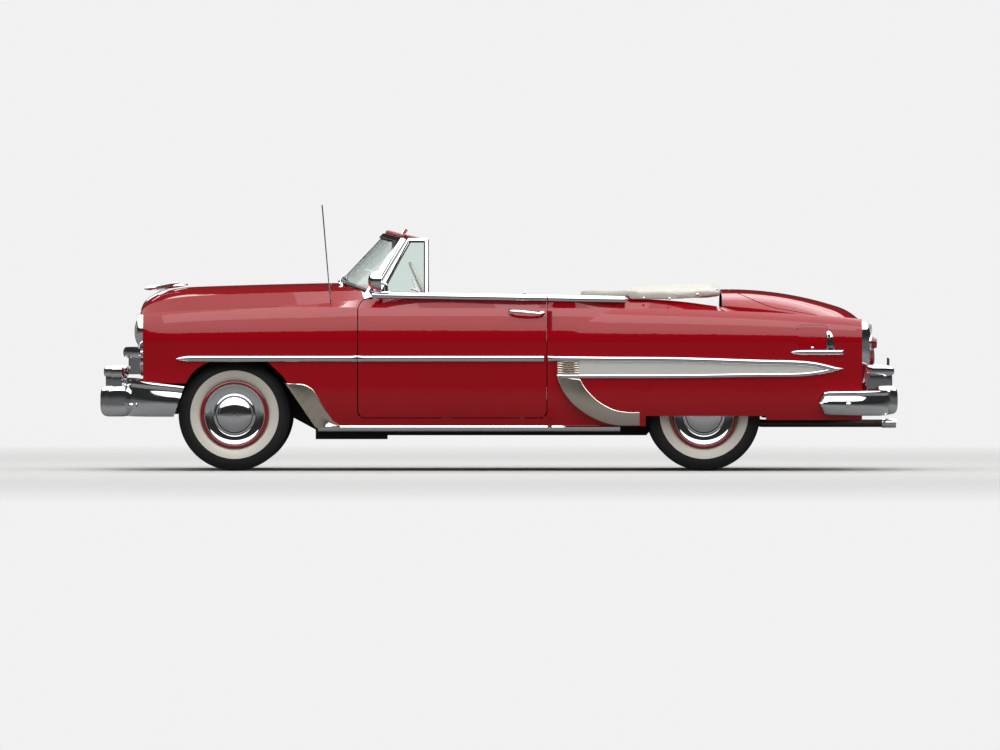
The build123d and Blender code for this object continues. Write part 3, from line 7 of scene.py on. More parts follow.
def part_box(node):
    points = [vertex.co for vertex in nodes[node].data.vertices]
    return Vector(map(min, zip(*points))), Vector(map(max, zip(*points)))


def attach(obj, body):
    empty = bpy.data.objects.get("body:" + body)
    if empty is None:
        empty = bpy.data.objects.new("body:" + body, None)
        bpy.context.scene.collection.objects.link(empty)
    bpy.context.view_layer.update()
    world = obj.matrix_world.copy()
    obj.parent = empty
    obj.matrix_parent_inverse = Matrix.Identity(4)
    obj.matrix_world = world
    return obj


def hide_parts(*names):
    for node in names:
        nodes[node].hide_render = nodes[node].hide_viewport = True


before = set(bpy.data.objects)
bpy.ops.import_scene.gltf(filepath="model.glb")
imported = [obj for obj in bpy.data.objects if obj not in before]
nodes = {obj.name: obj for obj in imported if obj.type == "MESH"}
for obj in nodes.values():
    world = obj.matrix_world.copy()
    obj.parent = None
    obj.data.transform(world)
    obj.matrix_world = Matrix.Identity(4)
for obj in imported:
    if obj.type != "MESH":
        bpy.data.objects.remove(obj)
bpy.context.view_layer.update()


def at(*place):
    return Vector(place)


def placed(name, data):
    made = bpy.data.objects.new(name, data)
    bpy.context.scene.collection.objects.link(made)
    return made


# Camera: level with the belt and far away, square to the car's left side. Lengths are in metres.
camera_distance, camera_height = 90.0, 1.15
view_width, sensor_width, clip_end = 6.2215, 36.0, 400.0
near_side_y = -0.81
aim = at(0.006, near_side_y, 0.597)


def set_camera():
    data = bpy.data.cameras.new("camera")
    data.sensor_width = sensor_width
    data.lens = sensor_width * camera_distance / view_width
    data.clip_end = clip_end
    camera = placed("camera", data)
    camera.location = (aim.x, near_side_y - camera_distance, camera_height)
    camera.rotation_euler = (aim - camera.location).to_track_quat("-Z", "Y").to_euler()
    bpy.context.scene.camera = camera


set_camera()


# Shader nodes
def linear(colour):
    """A colour written as 0 to 255 on the screen, as the shader wants it."""
    shares = [c / 255 for c in colour]
    return [s / 12.92 if s <= 0.04045 else ((s + 0.055) / 1.055) ** 2.4 for s in shares]


def tinted(colour, share):
    return [min(1.0, c * share) for c in linear(colour)] + [1.0]


def set_inputs(tree, node, inputs):
    """Links sockets to the node's inputs and sets plain values on them."""
    for key, value in inputs.items():
        if isinstance(value, bpy.types.NodeSocket):
            tree.links.new(value, node.inputs[key])
        else:
            node.inputs[key].default_value = value


def add_node(tree, kind, inputs=None, **settings):
    made = tree.nodes.new(kind)
    for name, value in settings.items():
        setattr(made, name, value)
    set_inputs(tree, made, inputs or {})
    return made


def mixed(tree, factor, low, high):
    """A colour between two, by a factor socket."""
    return add_node(tree, "ShaderNodeMix", {0: factor, 6: low, 7: high}, data_type="RGBA").outputs[2]


def noise(tree, place, scale, detail=3.0):
    inputs = {"Vector": place, "Scale": scale, "Detail": detail}
    return add_node(tree, "ShaderNodeTexNoise", inputs).outputs["Fac"]


def multiplied(tree, kind, output, first, second):
    return add_node(tree, kind, {0: first, 1: second}, operation="MULTIPLY").outputs[output]


def make_material(name, colour, roughness, variation=0.08, cloud_scale=3.0, roughness_spread=0.04, grain=0.0,
        grain_scale=400.0, pattern="noise", **sockets):
    """A surface whose colour and gloss drift a little, with a fine grain in relief."""
    material = bpy.data.materials.new(name)
    material.use_nodes = True
    tree = material.node_tree
    shader = tree.nodes["Principled BSDF"]
    place = add_node(tree, "ShaderNodeTexCoord").outputs["Object"]
    cloud = noise(tree, place, cloud_scale, 5.0)
    shade = mixed(tree, cloud, tinted(colour, 1 - variation), tinted(colour, 1 + variation))
    gloss = add_node(tree, "ShaderNodeMapRange", {"Value": noise(tree, place, cloud_scale * 7, 6.0),
        "To Min": max(0.0, roughness - roughness_spread), "To Max": roughness + roughness_spread})
    set_inputs(tree, shader, {"Base Color": shade, "Roughness": gloss.outputs["Result"]})
    if grain:
        if pattern == "leather":
            cells = add_node(tree, "ShaderNodeTexVoronoi", {"Vector": place, "Scale": grain_scale},
                feature="DISTANCE_TO_EDGE").outputs["Distance"]
            relief = multiplied(tree, "ShaderNodeMath", 0, cells, 4.0)
        elif pattern == "flutes":
            relief = add_node(tree, "ShaderNodeTexWave", {"Vector": place, "Scale": grain_scale},
                bands_direction="Y", wave_profile="SIN").outputs["Fac"]
        else:
            relief = noise(tree, place, grain_scale, 2.0)
        bump = add_node(tree, "ShaderNodeBump", {"Height": relief, "Strength": grain, "Distance": 0.001})
        set_inputs(tree, shader, {"Normal": bump.outputs["Normal"]})
    set_inputs(tree, shader, {key.replace("_", " "): value for key, value in sockets.items()})
    return material


# Columns: name, colour, roughness, variation, cloud scale, roughness spread, grain, grain scale, pattern
materials = {
    "body_paint": make_material("body_red_enamel", (168, 9, 24), 0.34, 0.04, 1.2, 0.04, 0.02, 900.0,
                                Coat_Weight=1.0, Coat_Roughness=0.02, Coat_IOR=1.45,
                                Specular_IOR_Level=0.0),
    "chrome": make_material("chrome_plate", (226, 228, 231), 0.055, 0.03, 2.0, 0.035, Metallic=1.0),
    # Satin metal: the low gloss is its own, and the warm beige tint is painted reflection of warm
    # surroundings
    "satin": make_material("satin_metal_painted_warm_reflection", (214, 205, 192), 0.24, 0.05, 3.0, 0.05, 0.03, 700.0,
                           Metallic=1.0),
    "ivory": make_material("ivory_enamel", (222, 221, 213), 0.3, 0.03, 2.0, 0.04, 0.02, 900.0,
                           Coat_Weight=0.8, Coat_Roughness=0.04),
    "glass": make_material("clear_glass", (236, 243, 240), 0.02, 0.01, 1.0, 0.015,
                           Transmission_Weight=1.0, IOR=1.2),
    "lens": make_material("fluted_lens", (246, 247, 244), 0.06, 0.02, 2.0, 0.03, 0.5, 22.0, "flutes",
                          Transmission_Weight=0.85, IOR=1.45),
    "red_lens": make_material("red_lens", (170, 6, 16), 0.09, 0.1, 20.0, 0.03, 0.35, 60.0,
                              Transmission_Weight=0.35, IOR=1.5, Coat_Weight=1.0),
    "chassis_black": make_material("chassis_black", (22, 21, 21), 0.62, 0.25, 6.0, 0.12, 0.25, 180.0),
    "exhaust_steel": make_material("aged_steel", (92, 84, 76), 0.48, 0.3, 9.0, 0.12, 0.2, 260.0,
                                   Metallic=0.85),
    "upholstery": make_material("red_leather", (150, 16, 24), 0.42, 0.12, 7.0, 0.07, 0.35, 420.0, "leather",
                                Sheen_Weight=0.15),
    "ivory_leather": make_material("ivory_leather", (226, 220, 203), 0.45, 0.06, 7.0, 0.07, 0.35, 420.0,
                                   "leather", Sheen_Weight=0.1),
    "boot_vinyl": make_material("boot_vinyl", (205, 202, 192), 0.5, 0.05, 5.0, 0.07, 0.3, 380.0, "leather",
                                Sheen_Weight=0.1),
    "cabin_trim": make_material("cabin_red", (128, 14, 20), 0.5, 0.1, 5.0, 0.08, 0.2, 500.0),
    "carpet": make_material("carpet_pile", (104, 14, 18), 0.95, 0.3, 40.0, 0.04, 0.9, 900.0,
                            Sheen_Weight=0.4),
    "rubber": make_material("black_rubber", (20, 20, 21), 0.66, 0.15, 8.0, 0.1, 0.15, 300.0),
    "whitewall": make_material("whitewall_rubber", (232, 228, 216), 0.5, 0.05, 9.0, 0.06, 0.06, 500.0),
    "wheel_red": make_material("wheel_red_enamel", (150, 12, 22), 0.28, 0.06, 4.0, 0.04, 0.02, 900.0,
                               Coat_Weight=1.0, Coat_Roughness=0.04),
    "mirror_glass": make_material("mirror_glass", (214, 219, 222), 0.02, 0.01, 2.0, 0.01, Metallic=1.0),
    "gauge_face": make_material("gauge_face", (26, 26, 28), 0.4, 0.1, 30.0, 0.05, Coat_Weight=0.6),
    "plate_paint": make_material("plate_paint", (222, 221, 214), 0.35, 0.05, 9.0, 0.05, Coat_Weight=0.3),
    "engine_paint": make_material("engine_enamel", (52, 60, 62), 0.5, 0.2, 14.0, 0.1, 0.15, 220.0),
    "amber": make_material("parking_lens", (238, 232, 220), 0.08, 0.05, 20.0, 0.03, 0.4, 40.0,
                           Transmission_Weight=0.5, IOR=1.45),
    # Near black: the own colour of the mirror back, dial marks and pillar joints, and painted shade where it
    # fills the fuel door's gap and the fin's slots
    "dark": make_material("dark_parts_and_painted_gap_shade", (12, 12, 13), 0.7, 0.2, 12.0, 0.08, 0.1, 300.0),
}


def pair(*names):
    return tuple(f"{name}_{side}" for name in names for side in ("left", "right"))


node_finish = {
    "body_paint": pair("front_fender", "rear_quarter", "door") + (
        "fender_skirts", "hood", "cowl", "trunk_lid", "rear_deck", "front_panel", "dashboard"),
    "chrome": pair("vent_frame") + ("windshield_frame", "headlamps", "grille", "front_bumper", "rear_bumper",
                                    "tail_lamps", "antenna", "door_mirror"),
    "glass": pair("vent_glass") + ("windshield_glass",),
    "lens": ("headlamp_lenses",),
    "red_lens": ("tail_lenses",),
    "engine_paint": ("engine",),
    "chassis_black": pair("knuckle") + ("frame", "radiator", "floor_pan", "inner_fenders",
                                        "front_suspension", "rear_axle", "fuel_tank"),
    "exhaust_steel": ("exhaust",),
    "upholstery": ("front_seat_cushion", "front_seat_back", "rear_seat_cushion", "rear_seat_back"),
    "boot_vinyl": ("boot_cover",),
    "cabin_trim": ("steering_column", "seat_bases"),
    "ivory": ("steering_wheel",),
    "rubber": pair("tyre_front", "tyre_rear"),
    "wheel_red": pair("wheel_front", "wheel_rear"),
}
for finish, names in node_finish.items():
    for name in names:
        nodes[name].data.materials.clear()
        nodes[name].data.materials.append(materials[finish])

# The material slot that each finish belongs to
own_slots = ("body_paint", "chrome", "glass", "red_lens", "chassis_black", "exhaust_steel", "upholstery",
    "boot_vinyl", "cabin_trim")
slot_of = {name: name for name in own_slots}
slot_of |= {"satin": "chrome", "ivory_leather": "upholstery", "rubber": "tyre_rubber"}
# The radius at the pole of a turned piece
pole = 0.0005


# Mesh pieces
def make_object(name, verts, faces, finish="chrome", body="root", sharp_angle=38):
    """A smooth-shaded mesh piece that rides on a body; edges sharper than the angle stay crisp."""
    mesh = bpy.data.meshes.new(name)
    mesh.from_pydata([tuple(v) for v in verts], [], faces)
    mesh.polygons.foreach_set("use_smooth", [True] * len(mesh.polygons))
    mesh.materials.append(materials[finish])
    mesh.update()
    mesh.set_sharp_from_angle(angle=radians(sharp_angle))
    piece = placed(name, mesh)
    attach(piece, body)
    return piece


def grid_faces(rows, columns, closed_rows=False, closed_columns=False):
    """Quads of a grid of points laid row after row."""
    faces = []
    for r in range(rows if closed_rows else rows - 1):
        for c in range(columns if closed_columns else columns - 1):
            r2, c2 = (r + 1) % rows, (c + 1) % columns
            faces.append((r * columns + c, r * columns + c2, r2 * columns + c2, r2 * columns + c))
    return faces


def bar_faces(rows, columns):
    """Quads round a closed bar, with a face at each end."""
    last = (rows - 1) * columns
    ends = [tuple(reversed(range(columns))), tuple(range(last, last + columns))]
    return grid_faces(rows, columns, closed_columns=True) + ends


def flipped(faces):
    return [tuple(reversed(face)) for face in faces]


def turns(count):
    return [2 * pi * i / count for i in range(count)]


def lathe(name, profile, centre, finish, body, sign, count):
    """Turns a profile of (radius, outward) about the axle; outward is to the car's own side."""
    verts = [centre + at(radius * cos(a), sign * outward, radius * sin(a))
        for a in turns(count) for radius, outward in profile]
    faces = grid_faces(count, len(profile), closed_rows=True)
    return make_object(name, verts, flipped(faces) if sign > 0 else faces, finish, body)


def smooth_line(points, count, rounded=True):
    """Evenly spaced points along a line through a few named ones."""
    points = [Vector(p) for p in points]
    if rounded and len(points) > 2:
        fine = []
        padded = [2 * points[0] - points[1]] + points + [2 * points[-1] - points[-2]]
        for a, b, c, d in zip(padded, padded[1:], padded[2:], padded[3:]):
            for k in range(12):
                t = k / 12
                fine.append(0.5 * (2 * b + (c - a) * t + (2 * a - 5 * b + 4 * c - d) * t * t
                    + (3 * b - a - 3 * c + d) * t ** 3))
        points = fine + [points[-1]]
    reach = [0.0]
    for a, b in zip(points, points[1:]):
        reach.append(reach[-1] + (b - a).length)
    spaced, k = [], 0
    for i in range(count):
        goal = reach[-1] * i / (count - 1)
        while k < len(reach) - 2 and reach[k + 1] < goal:
            k += 1
        span = reach[k + 1] - reach[k] or 1.0
        spaced.append(points[k].lerp(points[k + 1], min(1.0, (goal - reach[k]) / span)))
    return spaced


def turned(name, profile, place, along, finish="chrome", body="root", count=48):
    """Turns a profile of (radius, along) about a line through a place."""
    turn = Vector(along).normalized().to_track_quat("Z", "X").to_matrix()
    verts = [Vector(place) + turn @ at(radius * cos(a), radius * sin(a), reach)
        for a in turns(count) for radius, reach in profile]
    return make_object(name, verts, flipped(grid_faces(count, len(profile), closed_rows=True)), finish, body)


def tube(name, line, radius, finish="chrome", body="root", count=24, around=10, rounded=True, flat=1.0):
    """A round bar along a line; radius may be a list, and flat squashes it across its width."""
    points = smooth_line(line, count, rounded)
    radii = radius if isinstance(radius, (list, tuple)) else (radius, radius)
    verts, across = [], None
    for i, point in enumerate(points):
        run = (points[min(i + 1, count - 1)] - points[max(i - 1, 0)]).normalized()
        if across is None:
            across = run.orthogonal().normalized()
        across = (across - run * across.dot(run)).normalized()
        share = i / (count - 1) * (len(radii) - 1)
        k = min(int(share), len(radii) - 2)
        r = radii[k] + (radii[k + 1] - radii[k]) * (share - k)
        verts += [point + across * r * cos(a) + run.cross(across) * r * flat * sin(a) for a in turns(around)]
    return make_object(name, verts, bar_faces(count, around), finish, body, 50)


def slab(name, outline, depth, finish="chrome", body="root", rounding=0.0, segments=3):
    """A plate with corners at the outline's points, as deep as a vector, with rounded edges."""
    depth, points = Vector(depth), [Vector(p) for p in outline]
    count = len(points)
    faces = [tuple(range(count)), tuple(reversed(range(count, 2 * count)))]
    faces += [(i, count + i, count + (i + 1) % count, (i + 1) % count) for i in range(count)]
    normal = (points[1] - points[0]).cross(points[2] - points[1])
    if normal.dot(depth) > 0:
        faces = flipped(faces)
    piece = make_object(name, points + [p + depth for p in points], faces, finish, body, 30)
    if rounding:
        bevel = piece.modifiers.new("rounding", "BEVEL")
        bevel.width, bevel.segments, bevel.limit_method = rounding, segments, "ANGLE"
        bevel.harden_normals = False


def box(name, low, high, finish="chrome", body="root", rounding=0.004, segments=3):
    (x0, y0, z0), (x1, y1, z1) = low, high
    slab(name, ((x0, y0, z0), (x1, y0, z0), (x1, y1, z0), (x0, y1, z0)), (0, 0, z1 - z0), finish, body,
        rounding, segments)


def side_box(name, side, low, high, finish="chrome", body="root", rounding=0.004, segments=3):
    """A box on one side, with y written as if the side were the positive one."""
    near, far = sorted((sides[side] * low[1], sides[side] * high[1]))
    box(f"{name}_{side}", (low[0], near, low[2]), (high[0], far, high[2]), finish, body, rounding, segments)


def rail(name, stations, section, body, sign):
    """A bright bar whose section of (outward, upward) is set at stations of (x, y, z)."""
    verts = [(x, sign * (y + out), z + up) for x, y, z in stations for out, up in section]
    faces = bar_faces(len(stations), len(section))
    make_object(name, verts, flipped(faces) if sign < 0 else faces, "chrome", body)


def egg(name, low, high, power, around=40, rows=22):
    """A bright rounded bulb between two corners; a lower power is more like a box."""
    low, high = Vector(low), Vector(high)
    middle, half, verts = (low + high) / 2, (high - low) / 2, []

    def eased(value):
        return copysign(abs(value) ** power, value)

    for r in range(rows):
        b = pi * ((r + 0.5) / rows - 0.5)
        for a in turns(around):
            verts.append((middle.x + half.x * eased(cos(b)) * eased(cos(a)),
                middle.y + half.y * eased(cos(b)) * eased(sin(a)), middle.z + half.z * eased(sin(b))))
    return make_object(name, verts, bar_faces(rows, around), sharp_angle=60)


def skin_of(names):
    verts, faces = [], []
    for name in names:
        mesh, start = nodes[name].data, len(verts)
        verts += [v.co.copy() for v in mesh.vertices]
        faces += [[start + i for i in p.vertices] for p in mesh.polygons]
    return BVHTree.FromPolygons(verts, faces)


sides = {"left": -1, "right": 1}
skins = {s: skin_of([f"front_fender_{s}", f"door_{s}", f"rear_quarter_{s}", "fender_skirts"]) for s in sides}
outside_y = 1.3


def skin_y(side, x, z):
    """How far out the body side lies at a place, as a positive number."""
    sign = sides[side]
    hit = skins[side].ray_cast(at(x, sign * outside_y, z), at(0, -sign, 0), outside_y)[0]
    if hit is None:
        hit = skins[side].find_nearest(at(x, sign * outside_y, z))[0]
    return abs(hit.y)


# Sections of trim: (share across, share of its height)
round_section_shares = ((0, -0.4), (0, 0.3), (0.07, 0.66), (0.24, 0.93), (0.5, 1.0), (0.76, 0.93),
    (0.93, 0.66), (1, 0.3), (1, -0.4))
flat_section_shares = ((0, -0.4), (0, 0.55), (0.03, 0.9), (0.08, 1.0), (0.5, 1.06), (0.92, 1.0), (0.97, 0.9),
    (1, 0.55), (1, -0.4))


def ribbon(name, side, body, top, bottom, height, finish, section=round_section_shares, count=40,
        rounded=True):
    """Trim laid on the body side between two lines of (x, z), standing out by its height."""
    sign = sides[side]
    upper, lower = smooth_line(top, count, rounded), smooth_line(bottom, count, rounded)
    verts = []
    for row, (a, b) in enumerate(zip(upper, lower)):
        end = row in (0, count - 1)
        for across, lift in section:
            p = a.lerp(b, across)
            rise = height * (min(lift, 0.3) if end else lift)
            verts.append((p.x, sign * (skin_y(side, p.x, p.y) + rise), p.y))
    faces = grid_faces(count, len(section))
    last = (count - 1) * len(section)
    faces += [tuple(range(len(section))), tuple(reversed(range(last, last + len(section))))]
    return make_object(name, verts, flipped(faces) if sign > 0 else faces, finish, body)


# Trim along the sides, as lines of (x, z)
spear_top, spear_bottom = 0.7167, 0.6794
spear_front = -2.0095
door_front, door_rear, panel_gap = -0.8795, 0.298, 0.006
upper_moulding_top = ((0.304, 0.7157), (0.628, 0.7125), (1.12, 0.7085), (1.611, 0.694), (1.858, 0.688),
    (1.98, 0.675), (2.078, 0.652), (2.1414, 0.6365))
lower_moulding_bottom = ((0.364, 0.5755), (0.628, 0.576), (1.12, 0.577), (1.611, 0.584), (1.858, 0.586),
    (1.98, 0.598), (2.078, 0.617), (2.1414, 0.6355))
moulding_width = 0.033
insert_front, rib_front = 0.4977, 0.364
insert_top_z, insert_bottom_z = 0.681, 0.602
rib_count, rib_top, rib_bottom, rib_share = 6, 0.69, 0.603, 0.86
gravel_outer = ((-1.3314, 0.5475), (-1.275, 0.544), (-1.215, 0.539), (-1.178, 0.522), (-1.151, 0.4977),
    (-1.0825, 0.3857), (-1.052, 0.34), (-1.029, 0.3111), (-0.983, 0.281))
gravel_inner = ((-1.3314, 0.546), (-1.3, 0.503), (-1.262, 0.448), (-1.23, 0.401), (-1.2194, 0.3857),
    (-1.175, 0.32), (-1.1423, 0.2737), (-1.125, 0.268), (-0.99, 0.279))
guard_outer = ((0.3577, 0.6004), (0.3888, 0.5077), (0.4604, 0.4168), (0.5637, 0.3422), (0.6657, 0.2985),
    (0.7497, 0.2826), (0.8735, 0.2826))
guard_inner = ((0.5021, 0.5749), (0.5431, 0.5077), (0.6159, 0.4355), (0.7086, 0.3839), (0.7901, 0.3671),
    (0.83, 0.3655), (0.8735, 0.3652))


def side_trim():
    middle = (spear_top + spear_bottom) / 2
    for side in sides:
        tip = [(spear_front, middle), (spear_front + 0.02, spear_top - 0.008),
            (spear_front + 0.07, spear_top)]
        for name, body, start, rear in (("fender", "root", tip, door_front - panel_gap),
                ("door", f"door_{side}", [(door_front, spear_top)], door_rear)):
            top = start + [(rear, spear_top)]
            ribbon(f"spear_{name}_{side}", side, body, top, [(x, 2 * middle - z) for x, z in top], 0.014,
                "chrome", count=60, rounded=False)
        inner_top = [(x, z - moulding_width) for x, z in upper_moulding_top]
        inner_top[-1] = (upper_moulding_top[-1][0] - 0.03, 0.6362)
        inner_bottom = [(x, z + moulding_width * 0.78) for x, z in lower_moulding_bottom]
        inner_bottom[-1] = inner_top[-1]
        ribbon(f"upper_moulding_{side}", side, "root", upper_moulding_top, inner_top, 0.015, "chrome",
            count=90)
        ribbon(f"lower_moulding_{side}", side, "root", inner_bottom, lower_moulding_bottom, 0.013, "chrome",
            count=90)
        insert_top = [(insert_front, insert_top_z)] + [p for p in inner_top if p[0] > insert_front]
        insert_bottom = [(insert_front, insert_bottom_z)] + [p for p in inner_bottom if p[0] > insert_front]
        ribbon(f"side_insert_{side}", side, "root", insert_top, insert_bottom, 0.004, "ivory",
            flat_section_shares, 80)
        pitch = (rib_top - rib_bottom) / rib_count
        for i in range(rib_count):
            z = rib_top - i * pitch
            ribbon(f"rib_{i}_{side}", side, "root", ((rib_front, z), (insert_front, z)),
                ((rib_front, z - pitch * rib_share), (insert_front, z - pitch * rib_share)), 0.01, "satin",
                count=8)
        ribbon(f"gravel_shield_{side}", side, "root", gravel_outer, gravel_inner, 0.006, "satin",
            flat_section_shares, 50)
        ribbon(f"stone_guard_{side}", side, "root", guard_inner, guard_outer, 0.008, "satin",
            flat_section_shares, 60)


side_trim()

# Belt and rocker mouldings. Sections are of (outward, upward) from the stations.
belt_out, belt_high, belt_low_end = 0.786, 1.078, 1.05
belt_section = ((0.036, 0.0), (0.0395, 0.007), (0.0395, 0.016), (0.036, 0.027), (0.029, 0.035),
    (0.018, 0.0385), (0.006, 0.0375), (-0.001, 0.031), (-0.002, 0.018), (0.004, -0.006))
belt_front_x, belt_rear_x = -0.79, 0.784
belt_fall = belt_high - belt_low_end
rocker_section = ((0.01, 0.0), (0.0165, -0.008), (0.0165, -0.02), (0.011, -0.032), (0.001, -0.037),
    (-0.01, -0.034), (-0.014, -0.02), (-0.012, 0.0))
rocker_front_x, rocker_rear_x, rocker_y, rocker_z = -1.126, 0.753, 0.846, 0.2815


def belt_z(x):
    return belt_high - belt_fall * (x - belt_front_x) / (belt_rear_x - belt_front_x)


def stations_between(front, rear, count, y, height):
    return [(front + (rear - front) * k / (count - 1), y, height(front + (rear - front) * k / (count - 1)))
        for k in range(count)]


# Door handles
handle_front_x, handle_rear_x, handle_z, handle_drop = 0.058, 0.284, 0.99, 0.012
# Columns: x, outward, upward
handle_grip = ((handle_front_x + 0.004, 0.004, 0.006), (handle_front_x + 0.016, 0.026, 0.005),
    (handle_front_x + 0.06, 0.04, 0.002), (handle_rear_x - 0.08, 0.041, -0.006),
    (handle_rear_x - 0.026, 0.03, -0.012), (handle_rear_x - 0.006, 0.004, -0.014))
handle_radii = (0.009, 0.011, 0.0125, 0.0115, 0.01, 0.009)
button_profile = ((0.0085, 0.0), (0.0085, 0.014), (0.007, 0.017), (pole, 0.018))
# The fuel door, its spear and its fin, on the left only, as (x, z)
fuel_low, fuel_high, fuel_corner = (1.856, 0.742), (2.04, 0.906), 0.02
fuel_spear_top = ((1.8105, 0.738), (1.835, 0.748), (1.9, 0.7525), (2.14, 0.7525))
fuel_spear_bottom = ((1.8105, 0.737), (1.835, 0.728), (1.9, 0.7225), (2.14, 0.7225))
fuel_fin_top = ((2.036, 0.862), (2.046, 0.872), (2.064, 0.862), (2.076, 0.835), (2.09, 0.752))
fuel_fin_bottom = ((2.034, 0.754), (2.046, 0.75), (2.06, 0.749), (2.075, 0.749), (2.092, 0.75))
fin_slot_count, fin_slot_left, fin_slot_height = 4, 2.04, 0.0205
fuel_knob_profile = ((0.009, -0.002), (0.009, 0.006), (0.006, 0.009), (pole, 0.01))


def body_side_details():
    for side, sign in sides.items():
        body = f"door_{side}"
        rail(f"belt_door_{side}", stations_between(belt_front_x, door_rear, 12, belt_out, belt_z),
            belt_section, body, sign)
        rail(f"belt_quarter_{side}", stations_between(door_rear + panel_gap, belt_rear_x, 8, belt_out,
            belt_z), belt_section, "root", sign)
        rail(f"rocker_{side}", stations_between(rocker_front_x, rocker_rear_x, 24, rocker_y,
            lambda x: rocker_z), rocker_section, "root", sign)
        line = [(x, sign * (skin_y(side, x, handle_z) + out), handle_z + up) for x, out, up in handle_grip]
        tube(f"handle_grip_{side}", line, handle_radii, "chrome", body, 40, 14, flat=0.75)
        for tag, x, drop, r in (("front", handle_front_x + 0.012, 0.0, 0.017),
                ("rear", handle_rear_x - 0.016, handle_drop, 0.02)):
            profile = ((r, -0.004), (r, 0.004), (r * 0.8, 0.01), (r * 0.35, 0.013), (pole, 0.0135))
            place = (x, sign * skin_y(side, x, handle_z), handle_z - drop)
            turned(f"handle_base_{tag}_{side}", profile, place, (0, sign, 0), "chrome", body, 32)
        out = skin_y(side, handle_rear_x, handle_z) + 0.006
        place = (handle_rear_x - 0.016, sign * out, handle_z - handle_drop)
        turned(f"handle_button_{side}", button_profile, place, (0, sign, 0), "satin", body, 24)
    (x0, z0), (x1, z1), r = fuel_low, fuel_high, fuel_corner
    # The dark band round the fuel door is painted shade of its gap: a thin dark ribbon under the door, a
    # little larger than it
    for name, grow, rise, finish in (("fuel_door_gap_painted_shade", 0.0035, 0.0004, "dark"),
            ("fuel_door", 0.0, 0.0022, "body_paint")):
        top = [(x0 - grow, z1 - r), (x0 + r * 0.3, z1 - r * 0.3 + grow), (x0 + r, z1 + grow),
            (x1 - r, z1 + grow), (x1 - r * 0.3, z1 - r * 0.3 + grow), (x1 + grow, z1 - r)]
        ribbon(name, "left", "root", top, [(x, z0 + z1 - z) for x, z in top], rise, finish,
            flat_section_shares, 50, False)
    ribbon("fuel_spear", "left", "root", fuel_spear_top, fuel_spear_bottom, 0.012, "chrome")
    ribbon("fuel_fin", "left", "root", fuel_fin_top, fuel_fin_bottom, 0.007, "chrome", flat_section_shares,
        24)
    # The fin's slots are dark bars laid over the fin: painted shade of the slots
    for i in range(fin_slot_count):
        z, right = 0.852 - i * 0.027, 2.06 + i * 0.008
        ribbon(f"fuel_fin_slot_painted_shade_{i}", "left", "root", [(fin_slot_left, z), (right, z)],
            [(fin_slot_left, z - fin_slot_height), (right + 0.003, z - fin_slot_height)], 0.0085, "dark",
            count=6)
    turned("fuel_knob", fuel_knob_profile, (1.948, -skin_y("left", 1.948, 0.76), 0.7655), (0, -1, 0),
        count=20)


body_side_details()

# Wheels and tyres
tyre_radius = 0.35
# Tyre profile from the inner bead over the tread to the outer bead: radius, share of half width
tyre_profile_shares = ((0.211, -0.62), (0.222, -0.8), (0.245, -0.95), (0.275, -1.0), (0.3, -0.97),
    (0.32, -0.9), (0.333, -0.82))
tread_half_share = 0.7
groove_shares = (-0.42, -0.15, 0.15, 0.42)
groove_half_share, groove_depth = 0.035, 0.007
# The place in the profile where the whitewall starts
wall_start = 3


def tread_profile():
    profile = [(0.343, -0.76), (0.3475, -tread_half_share)]
    for g in groove_shares:
        profile += [(tyre_radius - 0.001, g - groove_half_share),
            (tyre_radius - groove_depth, g - groove_half_share * 0.6),
            (tyre_radius - groove_depth, g + groove_half_share * 0.6),
            (tyre_radius - 0.001, g + groove_half_share)]
    return profile + [(0.3475, tread_half_share), (0.343, 0.76)]


# Profiles of (radius, outward from the wheel's middle)
rim_bead_profile = ((0.19, 0.068), (0.1915, 0.0725), (0.196, 0.0748), (0.203, 0.0742), (0.2095, 0.0705),
    (0.2115, 0.064))
trim_ring_profile = ((0.1885, 0.064), (0.1885, 0.0745), (0.186, 0.0772), (0.181, 0.0768), (0.176, 0.0738),
    (0.166, 0.0702), (0.152, 0.0678), (0.138, 0.0662), (0.129, 0.0646), (0.126, 0.062))
hubcap_profile = ((0.127, 0.06), (0.1285, 0.0655), (0.1265, 0.0715), (0.121, 0.0748), (0.114, 0.0756),
    (0.109, 0.0738), (0.106, 0.0742), (0.101, 0.079), (0.092, 0.085), (0.078, 0.0905), (0.06, 0.095),
    (0.04, 0.0978), (0.02, 0.0991), (0.001, 0.0995))
valve_radius = 0.157


def dress_wheel(axle, side):
    sign, tag = sides[side], f"{axle}_{side}"
    body = f"wheel_{tag}"
    low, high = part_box(f"tyre_{tag}")
    centre, half = (low + high) / 2, (high.y - low.y) / 2
    shoulder = [(r, y * half) for r, y in tyre_profile_shares]
    tread = [(r, y * half) for r, y in tread_profile()]
    outer = [(r, -y * half) for r, y in reversed(tyre_profile_shares)]
    tyre = lathe(f"tyre_{tag}", shoulder + tread + outer[:wall_start + 1], centre, "rubber", body, sign, 120)
    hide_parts(f"tyre_{tag}")
    whitewall = [(r, y + 0.0004) for r, y in outer[wall_start:]]
    lathe(f"whitewall_{tag}", whitewall, centre, "whitewall", body, sign, 120)
    lathe(f"rim_bead_{tag}", rim_bead_profile, centre, "wheel_red", body, sign, 120)
    lathe(f"trim_ring_{tag}", trim_ring_profile, centre, "chrome", body, sign, 120)
    lathe(f"hubcap_{tag}", hubcap_profile, centre, "chrome", body, sign, 96)
    stem = centre + at(valve_radius * 0.6, 0, -valve_radius * 0.8)
    tube(f"valve_{tag}", (stem + at(0, sign * 0.058, 0), stem + at(0, sign * 0.079, 0)), (0.0045, 0.0035),
        "rubber", body, 4, 10)


